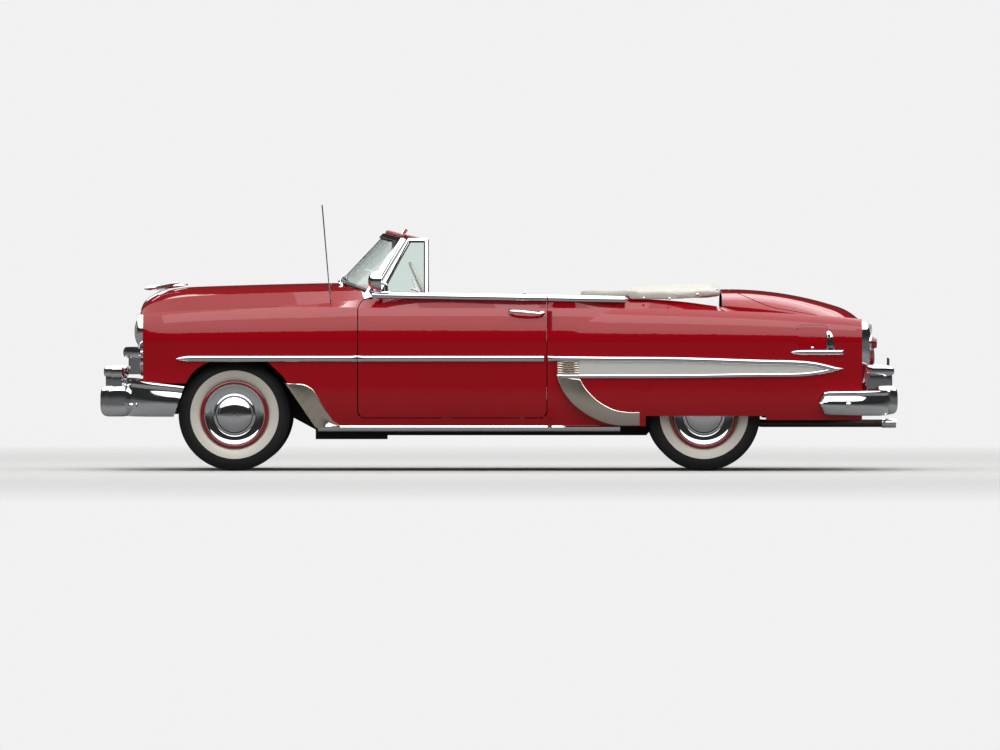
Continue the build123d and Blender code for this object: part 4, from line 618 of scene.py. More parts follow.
for axle in ("front", "rear"):
    for side in sides:
        dress_wheel(axle, side)


# Windshield: the same base and top curves as the solid, by share of its half width and height
screen_base, screen_top = (-1.008, 1.163, 0.735, 0.202, 0.068), (-0.709, 1.481, 0.64, 0.112, 0.031)


def screen_point(y_share, height, inward=0.0):
    """A place on the windshield, pushed rearwards by inward."""
    ends = []
    for x, z, half, sweep, drop in (screen_base, screen_top):
        y = half * y_share
        ends.append(at(x + sweep * y_share ** 2 + inward, y, z - drop * y_share ** 2))
    return ends[0].lerp(ends[1], height)


def screen_line(points, inward):
    return [screen_point(y, h, inward) for y, h in points]


def windshield_details():
    low, high, edge, steps = 0.055, 0.925, 0.955, 16
    loop = [(edge * (2 * k / steps - 1), low) for k in range(steps + 1)]
    loop += [(edge, h) for h in (0.3, 0.6, 0.9)]
    loop += [(-edge * (2 * k / steps - 1), high) for k in range(steps + 1)]
    loop += [(-edge, h) for h in (0.9, 0.6, 0.3, low)]
    for tag, inward in (("outer", -0.014), ("inner", 0.014)):
        tube(f"screen_seal_{tag}", screen_line(loop, inward), 0.006, "rubber", "root", 220, 8, False)
    top = [(s / 10, 1.0) for s in range(-10, 11)]
    tube("header_roll", [p + at(0.012, 0, 0.004) for p in screen_line(top, 0)], 0.016, "cabin_trim", "root",
        60, 12)
    for side, sign in sides.items():
        inner = [screen_point(sign * s, 1.0, 0.03) for s in (0.16, 0.5, 0.86)]
        visor = [p + at(0.0, 0, 0.004) for p in inner]
        verts, reach, droop = [], 0.15, -0.026
        for i, p in enumerate(smooth_line(visor, 14)):
            curl = 1 - abs(2 * i / 13 - 1) ** 6 * 0.12
            for k in range(9):
                u = k / 8
                rim = sin(pi * u) ** 0.4
                verts.append((p.x + reach * u * curl, p.y, p.z + droop * u + 0.007 * rim))
            for k in range(8, -1, -1):
                u = k / 8
                verts.append((p.x + reach * u * curl, p.y, p.z + droop * u - 0.006))
        make_object(f"sun_visor_{side}", verts, bar_faces(14, 18), "upholstery", sharp_angle=60)
        pivot = screen_point(sign * 0.5, 1.0, 0.018)
        tube(f"visor_rod_{side}", [pivot + at(0, -0.2, 0.0), pivot + at(0.012, 0, 0.006),
            pivot + at(0, 0.2, 0.0)], 0.005, count=16, around=8)
        latch = screen_point(sign * 0.66, 0.985, 0.028)
        tube(f"latch_{side}", [latch, latch + at(0.03, 0, 0.012), latch + at(0.055, 0, 0.045)],
            (0.009, 0.007, 0.009), count=14)
        base = screen_point(sign * 0.42, 0.03, -0.028)
        park = screen_point(sign * 0.1, 0.2, -0.024)
        tube(f"wiper_arm_{side}", [base, base.lerp(park, 0.5) + at(-0.012, 0, 0), park],
            (0.006, 0.0035, 0.003), count=16, around=8)
        turned(f"wiper_post_{side}", ((0.014, -0.03), (0.014, 0.004), (0.009, 0.012), (pole, 0.014)), base,
            (-0.72, 0, 0.69), count=20)
        blade = [screen_point(sign * s, h, -0.02) for s, h in ((0.4, 0.13), (0.24, 0.135), (0.06, 0.15))]
        tube(f"wiper_blade_{side}", blade, 0.0045, "rubber", "root", 20, 6)
        joint = [screen_point(sign, h, 0.006) + at(0, sign * 0.004, 0) for h in (0.03, 0.3, 0.6, 0.97)]
        tube(f"pillar_joint_{side}", joint, 0.0035, "dark", "root", 24, 6)
    arm = screen_point(0, 0.97, 0.03)
    head = at(-0.672, 0, 1.395)
    tube("mirror_arm", [arm, arm.lerp(head, 0.6) + at(0.02, 0, -0.01), head], 0.006, count=16)
    corners = ((-1, -1), (1, -1), (1, 1), (-1, 1))
    slab("mirror_back", [head + at(0, 0.115 * y, 0.03 * z) for y, z in corners], (0.018, 0, 0), "dark",
        "root", 0.008, 4)
    slab("mirror_pane", [head + at(0.0185, 0.108 * y, 0.024 * z) for y, z in corners], (0.001, 0, 0),
        "mirror_glass")


windshield_details()

# Door mirror, lock knobs and window slots: profiles and outlines
mirror_head, mirror_foot = at(-0.734, -0.806, 1.182), at(-0.722, -0.806, 1.1)
mirror_profile = ((pole, -0.081), (0.016, -0.0795), (0.034, -0.073), (0.05, -0.06), (0.061, -0.04),
    (0.067, -0.016), (0.068, -0.002), (0.066, 0.0015), (0.061, 0.001))
mirror_stem = (mirror_head + at(0, 0, -0.012), (-0.704, -0.806, 1.158), (-0.702, -0.806, 1.12),
    mirror_foot + at(0.012, 0, 0))
mirror_foot_outline = ((-0.06, -0.006), (-0.03, -0.021), (0.03, -0.021), (0.052, -0.01), (0.052, 0.014),
    (0.03, 0.02), (-0.03, 0.02), (-0.06, 0.006))
lock_knob_profile = ((0.003, 0), (0.003, 0.018), (0.006, 0.022), (0.0065, 0.03), (0.004, 0.034),
    (pole, 0.035))
window_slot = ((-0.43, 0.742), (0.28, 0.742), (0.28, 0.772), (-0.43, 0.772))
# Columns: x, share of the vent window's height
vent_corners = ((-0.742, 0.055), (-0.565, 0.945), (-0.464, 0.945), (-0.464, 0.055), (-0.742, 0.055))
vent_skin, vent_lean = 0.007, 0.014


def door_glass_details():
    for side, sign in sides.items():
        body = f"door_{side}"
        low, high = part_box(f"vent_frame_{side}")
        y_low = max(abs(low.y), abs(high.y)) - vent_skin
        lean = abs(high.y - low.y) - vent_lean

        def vent(x, height, out=0.0):
            return at(x, sign * (y_low - lean * height + out), low.z + (high.z - low.z) * height)

        tube(f"vent_seal_{side}", [vent(x, h) + at(0, sign * 0.006, 0) for x, h in vent_corners], 0.0045,
            "rubber", body, 80, 8, False)
        knob = vent(-0.5, 0.1, -0.01)
        tube(f"vent_latch_{side}", [knob, knob + at(-0.02, -sign * 0.012, 0.012),
            knob + at(-0.05, -sign * 0.014, 0.018)], (0.007, 0.005, 0.006), "chrome", body, 12, 10)
        turned(f"lock_knob_{side}", lock_knob_profile, (0.16, sign * 0.76, 1.078), (0, 0, 1), "chrome", body,
            20)
        slab(f"window_slot_{side}", [(x, sign * y, 1.0765) for x, y in window_slot], (0, 0, 0.0015),
            "rubber", body)
    shell = turned("door_mirror_head", mirror_profile, mirror_head, (1, 0, 0), "chrome", "door_left", 64)
    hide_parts("door_mirror")
    turned("mirror_face", ((0.0615, -0.002), (0.06, 0.0008), (pole, 0.001)), mirror_head, (1, 0, 0),
        "mirror_glass", "door_left", 48)
    tube("mirror_stem", mirror_stem, (0.011, 0.0095, 0.012, 0.016), "chrome", "door_left", 24, 14)
    slab("mirror_foot", [mirror_foot + at(x, y, 0) for x, y in mirror_foot_outline], (0, 0, 0.016), "chrome",
        "door_left", 0.006)


door_glass_details()


# Hood ornament on its foot, and the bright strip down the hood's nose
def top_of(name):
    skin = skin_of([name])
    return lambda x, y: skin.ray_cast(at(x, y, 2.0), at(0, 0, -1))[0]


ornament_nose, ornament_tail = at(-2.227, 0, 1.134), at(-1.954, 0, 1.156)
strip_x = (-2.2435, -2.238, -2.225, -2.2, -2.165, -2.125, -2.08)
strip_section = ((-0.016, -0.002), (-0.014, 0.004), (0, 0.008), (0.014, 0.004), (0.016, -0.002))
ornament_profile = ((pole, 0.0), (0.008, 0.006), (0.0125, 0.03), (0.0145, 0.08), (0.0135, 0.14),
    (0.009, 0.21), (0.004, 0.26))
# Columns: share of the ornament's length, sideways, upward
wing_outline = ((0.24, 0.008, 0.004), (0.62, 0.105, 0.016), (0.8, 0.112, 0.018), (0.66, 0.008, 0.004))
fin_outline = ((0.74, -0.0025, 0.006), (1.0, -0.0025, 0.0), (1.0, -0.0025, 0.012), (0.92, -0.0025, 0.01))


def hood_details():
    hood_top = top_of("hood")
    line = smooth_line([hood_top(x, 0) for x in strip_x], 26)
    verts = [(p.x - lift * 0.5, y, p.z + lift) for p in line for y, lift in strip_section]
    make_object("hood_strip", verts, grid_faces(26, 5), "chrome", "hood")
    run = ornament_tail - ornament_nose
    turned("ornament_body", ornament_profile + ((pole, run.length),), ornament_nose, run, "chrome", "hood",
        32)
    for side, sign in sides.items():
        wing = [ornament_nose + run * s + at(0, sign * y, up) for s, y, up in wing_outline]
        slab(f"ornament_wing_{side}", wing, (0, 0, 0.005), "chrome", "hood", 0.002)
    fin = [ornament_nose + run * s + at(0, y, up) for s, y, up in fin_outline]
    slab("ornament_fin", fin, (0, 0.005, 0), "chrome", "hood", 0.001)
    foot = hood_top(-2.115, 0).z - 0.004
    slab("ornament_foot", ((-2.15, -0.012, foot), (-2.08, -0.012, foot + 0.012), (-2.092, -0.006, 1.142),
        (-2.13, -0.006, 1.14)), (0, 0.018, 0), "chrome", "hood", 0.004)


hood_details()

# Lamps
lamp_x, tail_x, parking_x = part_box("headlamps")[0].x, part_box("tail_lamps")[1].x - 0.004, -2.2155
lamp_y, lamp_z, tail_y, parking_y, parking_z = 0.655, 0.866, 0.748, 0.47, 0.664
# Columns: name, x, y, z, facing (1 is rearwards), finish, points around, profile of (radius, along)
lamp_parts = (
    ("headlamp_lens", lamp_x, lamp_y, lamp_z, -1, "lens", 64,
     ((0.083, -0.004), (0.083, 0.004), (0.079, 0.011), (0.062, 0.02), (0.038, 0.0268), (0.016, 0.0298),
      (pole, 0.0302))),
    ("headlamp_ring", lamp_x, lamp_y, lamp_z, -1, "chrome", 72,
     ((0.1075, -0.024), (0.1085, -0.006), (0.106, 0.004), (0.099, 0.0095), (0.091, 0.0085), (0.0835, 0.003),
      (0.083, -0.01))),
    ("headlamp_reflector", lamp_x + 0.095, lamp_y, lamp_z, -1, "mirror_glass", 48,
     ((0.068, 0.07), (0.06, 0.035), (0.04, 0.012), (0.012, 0.008), (0.01, 0.024), (pole, 0.026))),
    ("tail_ring", tail_x, tail_y, 0.796, 1, "chrome", 48,
     ((0.052, -0.004), (0.053, 0.004), (0.049, 0.01), (0.0445, 0.009), (0.0445, 0.0))),
    ("tail_bullet", tail_x, tail_y, 0.796, 1, "red_lens", 48,
     ((0.0445, -0.002), (0.0445, 0.008), (0.041, 0.02), (0.033, 0.031), (0.02, 0.038), (0.008, 0.0405),
      (pole, 0.041))),
    ("reverse_lens", tail_x, tail_y, 0.882, 1, "lens", 40,
     ((0.034, -0.002), (0.034, 0.004), (0.028, 0.01), (0.012, 0.014), (pole, 0.0145))),
    ("reflex", tail_x, tail_y, 0.706, 1, "red_lens", 32,
     ((0.024, -0.002), (0.024, 0.004), (0.018, 0.007), (pole, 0.008))),
    ("parking_lamp", parking_x, parking_y, parking_z, -1, "amber", 40,
     ((0.044, -0.004), (0.044, 0.016), (0.038, 0.022), (0.022, 0.027), (pole, 0.029))),
    ("parking_ring", parking_x, parking_y, parking_z, -1, "chrome", 40,
     ((0.051, -0.004), (0.052, 0.012), (0.048, 0.018), (0.0435, 0.016))),
)


def lamp_details():
    low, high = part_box("tail_lamps")
    for side, sign in sides.items():
        for name, x, y, z, facing, finish, count, profile in lamp_parts:
            turned(f"{name}_{side}", profile, (x, sign * y, z), (facing, 0, 0), finish, "root", count)
        y = sign * tail_y
        shell = egg(f"tail_housing_{side}", (tail_x - 0.09, y - 0.062, low.z),
            (tail_x + 0.006, y + 0.062, high.z), 0.62, 48, 30)
        if side == "left":
            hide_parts("tail_lamps")


lamp_details()


# Bumpers, made over their plain solids: a pressed blade in one sweep, guards, horns and bolts
blade_half_width, blade_steps = 0.9375, 44
blade_path_shares = ((0, 0), (0.04, 0.43), (0.15, 0.75), (0.42, 0.957), (0.75, 0.995), (1, 1))
# Columns: depth behind the face, height as a share of the blade's
blade_section_shares = ((0.032, 0.985), (0.018, 1.0), (0.006, 0.985), (0.001, 0.93), (0.003, 0.84),
    (0.013, 0.8), (0.011, 0.74), (0.003, 0.62), (0.0, 0.46), (0.002, 0.3), (0.01, 0.13), (0.02, 0.03),
    (0.032, 0.0), (0.04, 0.02), (0.04, 0.965))


def blade(name, node, middle_x, end_x, low_z, high_z, end_low_z, end_high_z, slant, roundness):
    inward = 1 if end_x > middle_x else -1
    reach = end_x - middle_x
    path = smooth_line([(middle_x + reach * a, blade_half_width * b, 0) for a, b in blade_path_shares],
        blade_steps)
    path = [at(p.x, -p.y, 0) for p in reversed(path[1:])] + path
    count, verts = len(path), []
    for i, p in enumerate(path):
        run = (path[min(i + 1, count - 1)] - path[max(i - 1, 0)]).normalized()
        face = at(run.y, -run.x, 0) * (-inward)
        if i == 0 or i == count - 1:
            face = at(0, copysign(1, p.y), 0)
        along = min(1.0, abs(p.x - middle_x) / abs(reach))
        low = low_z + (end_low_z - low_z) * along ** 2
        high = high_z + (end_high_z - high_z) * along
        tip = max(0.0, (along - 1 + roundness) / roundness) if roundness else 0.0
        shrink = sqrt(max(0.0, 1 - tip * tip)) * 0.96 + 0.04
        middle = (low + high) / 2
        for depth, share in blade_section_shares:
            z = middle + (low + (high - low) * share - middle) * shrink
            lean = -inward * slant * along ** 6 * (1 - share)
            verts.append((p.x - face.x * depth + lean, p.y - face.y * depth, z))
    faces = bar_faces(count, len(blade_section_shares))
    piece = make_object(name, verts, flipped(faces) if inward > 0 else faces, sharp_angle=50)
    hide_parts(node)


def bumper_guard(name, end_x, y, width, low_z, high_z, horn_z):
    inward, reach = (1, 0.11) if end_x < 0 else (-1, 0.23)

    def bulb(tag, near_x, far_x, trim_x, width_share, low, high, power):
        near, far = sorted((end_x + inward * near_x, end_x + inward * far_x))
        half = width * width_share
        egg(name + tag, (near + trim_x, y - half, low), (far - trim_x, y + half, high), power)
    bulb("", 0, 0.155, 0, 0.5, low_z, high_z, 0.55)
    bulb("_neck", 0.022, reach, 0.012, 0.3, high_z - 0.08, horn_z - 0.04, 0.35)
    bulb("_horn", 0.022, reach, 0, 0.42, horn_z - 0.074, horn_z, 0.62)


# Columns: name, node, middle x, end x, low z and high z in the middle, then at the end, slant, roundness
blades = (("front_blade", "front_bumper", -2.372, -1.955, 0.338, 0.575, 0.338, 0.529, 0.068, 0.0),
          ("rear_blade", "rear_bumper", 2.468, 1.992, 0.342, 0.5, 0.35, 0.496, 0.0, 0.1))
bolt_profile = ((0.017, -0.004), (0.017, 0.002), (0.013, 0.007), (0.006, 0.01), (pole, 0.0105))
# Columns: name, end x, y, width, low z, high z, horn's top z
guards = (("front_guard", -2.494, 0.33, 0.084, 0.334, 0.53, 0.652),
          ("front_outer_guard", -2.446, 0.57, 0.08, 0.336, 0.528, 0.65),
          ("rear_guard", 2.494, 0.33, 0.084, 0.345, 0.53, 0.656))
plate_rim_x, plate_rim_y, plate_rim_low, plate_rim_high = 2.4465, 0.146, 0.554, 0.692


def bumper_details():
    for row in blades:
        blade(*row)
    for side, sign in sides.items():
        for name, end_x, y, *sizes in guards:
            bumper_guard(f"{name}_{side}", end_x, sign * y, *sizes)
        for tag, x, y, z, facing in (("front", -2.2895, 0.8, 0.405, (-0.55, sign * 0.83, 0)),
                ("rear", 2.172, 0.9335, 0.412, (0.05, sign, 0))):
            turned(f"{tag}_bolt_{side}", bolt_profile, (x, sign * y, z), facing, count=24)
        side_box("front_bracket", side, (-2.337, 0.372, 0.382), (-2.18, 0.428, 0.468), "chassis_black")
        side_box("rear_bracket", side, (2.2005, 0.372, 0.442), (2.434, 0.428, 0.468), "chassis_black")
    box("plate_holder", (2.438, -0.153, 0.47), (2.4435, 0.153, 0.7), "chassis_black", "root", 0.002)
    box("rear_plate", (2.444, -0.152, 0.548), (2.446, 0.152, 0.698), "plate_paint", "root", 0.0008)
    rim = [(plate_rim_x, y * plate_rim_y, plate_rim_high if up else plate_rim_low)
        for y, up in ((-1, 0), (1, 0), (1, 1), (-1, 1), (-1, 0))]
    tube("rear_plate_rim", rim, 0.002, "plate_paint", "root", 120, 6, False)
    for i, y in enumerate((-0.089, 0.089)):
        turned(f"plate_screw_{i}", ((0.006, 0), (0.006, 0.002), (pole, 0.004)), (2.446, y, 0.665), (1, 0, 0),
            "satin", "root", 16)


bumper_details()


# Soft goods: swollen by a cloth simulation, then sewn channels pressed in
voxel, swell_frames, swell_pressure = 0.012, 20, 4.0
pleat_pitch, pleat_depth, pleat_width = 0.058, 0.007, 0.007
# The pleated part of a seat, how squarely a pleat faces the sitter, and the room kept inside the solid's box
pleat_shares, seat_facing, soft_skin = (0.16, 0.9), 0.25, 0.0004
snap_profile = ((0.0085, -0.004), (0.0085, 0.0), (0.006, 0.003), (pole, 0.0035))


def baked(piece):
    """The piece with its modifiers made part of its mesh."""
    ready = piece.evaluated_get(bpy.context.evaluated_depsgraph_get())
    mesh = bpy.data.meshes.new_from_object(ready)
    old, name = piece.data, piece.name
    piece.modifiers.clear()
    piece.data = mesh
    bpy.data.meshes.remove(old)
    mesh.name = name


def swollen(piece, cap):
    """Lets pressure fill the piece out, with no point moving further than the cap."""
    rest = [v.co.copy() for v in piece.data.vertices]
    cloth = piece.modifiers.new("cloth", "CLOTH")
    cloth.settings.use_pressure = True
    cloth.settings.uniform_pressure_force = swell_pressure
    cloth.settings.effector_weights.gravity = 0
    cloth.point_cache.frame_start, cloth.point_cache.frame_end = 1, swell_frames
    for number in range(1, swell_frames + 1):
        bpy.context.scene.frame_set(number)
    ready = piece.evaluated_get(bpy.context.evaluated_depsgraph_get())
    moved = [v.co.copy() for v in ready.data.vertices]
    piece.modifiers.clear()
    bpy.context.scene.frame_set(1)
    steps = [end - start for start, end in zip(rest, moved)]
    capped = [start + step * min(1.0, cap / max(step.length, 1e-9)) for start, step in zip(rest, steps)]
    piece.data.vertices.foreach_set("co", [value for point in capped for value in point])
    piece.data.update()


def soft_piece(name, node, finish, shrink, cap, shaping, inset=None):
    low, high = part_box(node)
    middle, size = (low + high) / 2, high - low
    mesh = nodes[node].data.copy()
    for vertex in mesh.vertices:
        for axis in range(3):
            share = 1 - 2 * shrink / size[axis]
            vertex.co[axis] = middle[axis] + (vertex.co[axis] - middle[axis]) * share
    mesh.materials.clear()
    mesh.materials.append(materials[finish])
    piece = placed(name, mesh)
    form = piece.modifiers.new("form", "REMESH")
    form.mode, form.voxel_size = "VOXEL", voxel
    baked(piece)
    swollen(piece, cap)
    smooth = piece.modifiers.new("smooth", "SUBSURF")
    smooth.levels = smooth.render_levels = 1
    baked(piece)
    shaped = []
    for point, normal in [(v.co.copy(), v.normal.copy()) for v in piece.data.vertices]:
        point += normal * shaping(point, normal)
        shaped += [min(max(point[k], low[k] + soft_skin), high[k] - soft_skin) for k in range(3)]
    piece.data.vertices.foreach_set("co", shaped)
    piece.data.polygons.foreach_set("use_smooth", [True] * len(piece.data.polygons))
    if inset:
        piece.data.materials.append(materials["ivory_leather"])
        for face in piece.data.polygons:
            if inset(face.center, face.normal):
                face.material_index = 1
    piece.data.update()
    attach(piece, "root")
    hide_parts(node)


def channel(offset, width, depth):
    return -depth * exp(-(offset / width) ** 2)


def seat_shape(low, high, border, lean):
    """Pleats across the middle of a seat, inside a plain border with its own seam."""
    axis = 2 if lean else 0
    length = high[axis] - low[axis]

    def place(p, normal):
        return (p[axis] - low[axis]) / length, -normal.x if lean else normal.z

    def shaping(p, normal):
        share, facing = place(p, normal)
        if facing < seat_facing:
            return channel(min(abs(p.z - low.z - 0.03), abs(high.z - 0.035 - p.z)), 0.006, 0.003)
        cut = channel(abs(abs(p.y) - (high.y - border)), 0.007, 0.007)
        if abs(p.y) < high.y - border and pleat_shares[0] < share < pleat_shares[1]:
            offset = (p.y + pleat_pitch * 100) % pleat_pitch - pleat_pitch / 2
            cut += channel(offset, pleat_width, pleat_depth) + channel(abs(p.y), 0.012, 0.006)
        for edge in pleat_shares:
            cut += channel((share - edge) * length, 0.007, 0.006)
        return cut

    def inset(p, normal):
        share, facing = place(p, normal)
        pleated = abs(p.y) < high.y - border and pleat_shares[0] < share < pleat_shares[1]
        return pleated and facing > seat_facing
    return shaping, inset


def seats():
    for node, border, lean, fill in (("front_seat_cushion", 0.1, False, 0.7),
            ("front_seat_back", 0.1, True, 0.65), ("rear_seat_cushion", 0.09, False, 0.7),
            ("rear_seat_back", 0.09, True, 0.65)):
        shaping, inset = seat_shape(*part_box(node), border, lean)
        soft_piece(f"padded_{node}", node, "upholstery", 0.01, 0.016, shaping, inset)


def boot():
    low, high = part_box("boot_cover")

    def shaping(p, normal):
        folds = 0.0035 * sin(p.x * 23 + cos(p.y * 5) * 2.2) * cos(p.y * 7 + p.x * 4)
        hem = channel(abs(abs(p.y) - (abs(high.y) - 0.03)), 0.006, 0.003)
        return (folds if normal.z > 0.2 else folds * 0.4) + hem
    soft_piece("boot_padded", "boot_cover", "boot_vinyl", 0.006, 0.01, shaping)
    boot_skin = skin_of(["boot_cover"])
    for side, sign in sides.items():
        for i, (x, z) in enumerate(((1.235, 1.098), (1.355, 1.13), (0.9, 1.075), (1.06, 1.073))):
            place = boot_skin.ray_cast(at(x, sign * outside_y, z), at(0, -sign, 0))[0]
            if place is not None:
                turned(f"boot_snap_{i}_{side}", snap_profile, place, (0, sign, 0.2), count=20)


seats()
boot()


# Cabin
# Columns: name, low corner and high corner on the right side, finish, rides the door, rounding, segments
cabin_boxes = (
    ("door_panel_lower", (-0.845, 0.786, 0.372), (0.262, 0.7985, 0.64), "upholstery", True, 0.004, 3),
    ("door_panel_strip", (-0.845, 0.786, 0.643), (0.262, 0.7985, 0.652), "chrome", True, 0.003, 3),
    ("armrest", (-0.3, 0.728, 0.668), (0.06, 0.79, 0.712), "upholstery", True, 0.018, 6),
    ("side_panel", (0.308, 0.64, 0.345), (0.852, 0.655, 1.046), "upholstery", False, 0.005, 3),
    ("side_cap", (0.308, 0.64, 1.03), (0.5, 0.748, 1.046), "cabin_trim", False, 0.005, 3),
    ("sill_plate", (-0.85, 0.77, 0.3185), (0.27, 0.838, 0.3225), "satin", False, 0.0015, 2),
    ("carpet_front", (-0.985, 0.14, 0.3265), (-0.352, 0.7, 0.3345), "carpet", False, 0.003, 2),
    ("carpet_rear", (0.16, 0.14, 0.3265), (0.388, 0.7, 0.3345), "carpet", False, 0.003, 2),
)
door_pleat_count, door_pleat_pitch, door_pleat_width = 14, 0.0785, 0.0745
crank_boss_profile = ((pole, 0.02), (0.01, 0.019), (0.014, 0.012), (0.02, 0.003), (0.022, -0.012))
crank_knob_profile = ((pole, 0.017), (0.008, 0.015), (0.0105, 0.008), (0.008, 0.0), (pole, -0.001))
crank_length, crank_rise = 0.085, 0.03


def cabin_sides():
    for side, sign in sides.items():
        body = f"door_{side}"
        for name, low, high, finish, on_door, rounding, segments in cabin_boxes:
            side_box(name, side, low, high, finish, body if on_door else "root", rounding, segments)
        for i in range(door_pleat_count):
            x = -0.842 + i * door_pleat_pitch
            side_box(f"door_pleat_{i}", side, (x, 0.776, 0.385), (x + door_pleat_width, 0.79, 0.63),
                "ivory_leather", body, 0.006, 4)
        for name, x, z, swing in (("window_crank", -0.12, 0.585, 0.7), ("door_lever", -0.52, 0.6, -0.4)):
            pin = at(x, sign * 0.778, z)
            turned(f"{name}_boss_{side}", crank_boss_profile, pin, (0, -sign, 0), "chrome", body, 32)
            end = pin + at(crank_length * cos(swing), -sign * crank_rise, crank_length * sin(swing))
            line = (pin + at(0, -sign * 0.014, 0), (pin + end) / 2 + at(0, -sign * 0.01, 0), end)
            tube(f"{name}_{side}", line, (0.0065, 0.005), "chrome", body, 16, 12, flat=0.6)
            turned(f"{name}_knob_{side}", crank_knob_profile, end, (0, -sign, 0), "ivory", body, 28)


# Dashboard, with the dials' angles in degrees
dash_x, dial_share = -0.789, 0.88
dial_start, dial_sweep, long_mark, short_mark = -30, 240, 0.16, 0.08
# Columns: name, y, z, radius, marks
gauges = (("speed_gauge", -0.38, 0.978, 0.072, 21), ("fuel_gauge", -0.5, 0.965, 0.03, 9),
          ("heat_gauge", -0.26, 0.965, 0.03, 9))
dash_knob_profile = ((0.006, -0.002), (0.006, 0.01), (0.013, 0.013), (0.013, 0.024), (0.009, 0.029),
    (pole, 0.03))
lock_profile = ((0.012, -0.001), (0.012, 0.004), (0.008, 0.007), (pole, 0.007))
# Columns: name, low corner, high corner, finish, rounding, segments
plain_boxes = (
    ("dash_strip", (-0.7905, -0.6, 0.896), (-0.784, 0.6, 0.906), "chrome", 0.003, 3),
    ("radio_frame", (-0.7905, -0.105, 0.925), (-0.782, 0.105, 0.998), "chrome", 0.006, 4),
    ("radio_dial", (-0.784, -0.085, 0.962), (-0.7805, 0.085, 0.988), "gauge_face", 0.003, 3),
    ("glove_door", (-0.7905, 0.235, 0.918), (-0.785, 0.56, 1.008), "body_paint", 0.006, 4),
    ("battery", (-1.3, 0.262, 0.56), (-1.11, 0.4, 0.76), "rubber", 0.008, 3),
    ("battery_base", (-1.32, 0.245, 0.54), (-1.09, 0.424, 0.5605), "chassis_black", 0.004, 2),
    ("trunk_mat", (0.88, -0.6, 0.5285), (2.185, 0.6, 0.5345), "carpet", 0.003, 2),
)


def gauge(name, y, z, radius, marks):
    place, face = at(dash_x, y, z), radius * dial_share
    turned(f"{name}_bezel", ((radius, -0.004), (radius, 0.006), (radius * 0.94, 0.01), (face, 0.006),
        (face, -0.004)), place, (1, 0, 0), count=56)
    turned(f"{name}_face", ((face, -0.004), (face, 0.002), (pole, 0.002)), place, (1, 0, 0), "gauge_face",
        "root", 56)
    for i in range(marks):
        angle = radians(dial_start + dial_sweep * i / (marks - 1))
        outward = at(0, cos(angle), sin(angle))
        start, long = place + at(0.0026, 0, 0), short_mark if i % 5 else long_mark
        tube(f"{name}_mark_{i}", (start + outward * radius * 0.82, start + outward * radius * (0.82 - long)),
            0.0009, "dark", "root", 2, 6, False)
    turned(f"{name}_hub", ((0.006, 0.0), (0.005, 0.006), (pole, 0.007)), place, (1, 0, 0), "dark", "root",
        24)
    needle = place + at(0.0045, 0, 0)
    tube(f"{name}_needle", (needle, needle + at(0, -radius * 0.6, -radius * 0.3)), (0.0018, 0.0006), "dark",
        "root", 2, 8, False)


def dashboard_details():
    for row in gauges:
        gauge(*row)
    for name, low, high, finish, rounding, segments in plain_boxes:
        box(name, low, high, finish, "root", rounding, segments)
    for i in range(5):
        y = -0.052 + i * 0.026
        box(f"radio_key_{i}", (-0.784, y - 0.01, 0.932), (-0.773, y + 0.01, 0.948), "ivory", "root", 0.003)
    for i, y in enumerate((-0.09, 0.09, -0.2, 0.17, -0.575)):
        turned(f"dash_knob_{i}", dash_knob_profile, (dash_x, y, 0.925), (1, 0, 0), "ivory", "root", 32)
    turned("glove_lock", lock_profile, (-0.785, 0.397, 0.99), (1, 0, 0), count=32)


# Controls, with the steering wheel's lean in degrees
wheel_centre, wheel_lean, horn_radius, horn_depth = at(-0.465, -0.38, 1.096), 25, 0.118, 0.03
horn_button_profile = ((0.034, -0.024), (0.034, 0.002), (0.026, 0.01), (0.012, 0.014), (pole, 0.015))
shift_knob_profile = ((pole, 0.02), (0.009, 0.018), (0.013, 0.01), (0.011, 0.0), (0.005, -0.004))
# Columns: y, width, low z, height, has an arm
pedals = ((-0.47, 0.055, 0.43, 0.05, True), (-0.33, 0.065, 0.43, 0.05, True),
    (-0.215, 0.055, 0.335, 0.13, False))


def controls():
    lean = radians(wheel_lean)
    facing, up = at(cos(lean), 0, sin(lean)), at(-sin(lean), 0, cos(lean))
    hub = wheel_centre - facing * horn_depth
    ring = [hub + up * horn_radius * sin(a) + at(0, horn_radius * cos(a), 0) for a in turns(48) + [2 * pi]]
    tube("horn_ring", ring, 0.0042, "chrome", "steering_wheel", 97, 12)
    for i, sign in enumerate((-1, 1)):
        tube(f"horn_arm_{i}", (hub + at(0, sign * 0.02, 0), hub + at(0, sign * horn_radius, 0)),
            (0.006, 0.0045), "chrome", "steering_wheel", 8, 12)
    turned("horn_button", horn_button_profile, hub, facing, "ivory", "steering_wheel", 48)
    column = wheel_centre - facing * 0.12
    end = column + at(0.03, 0.19, 0.03)
    tube("shift_lever", (column, column + at(0, 0.08, 0.012), end), (0.006, 0.0045), count=20, around=12)
    turned("shift_knob", shift_knob_profile, end, (0.2, 1, 0.2), "ivory", "root", 32)
    for i, (y, width, low, height, has_arm) in enumerate(pedals):
        slab(f"pedal_{i}", ((-0.9, y - width / 2, low), (-0.9, y + width / 2, low),
            (-0.945, y + width / 2, low + height), (-0.945, y - width / 2, low + height)), (0.012, 0, 0.005),
            "rubber", "root", 0.004)
        if has_arm:
            tube(f"pedal_arm_{i}", ((-0.918, y, low + height / 2), (-0.96, y, 0.52), (-1.0, y, 0.7)), 0.008,
                "chassis_black", "root", 16)


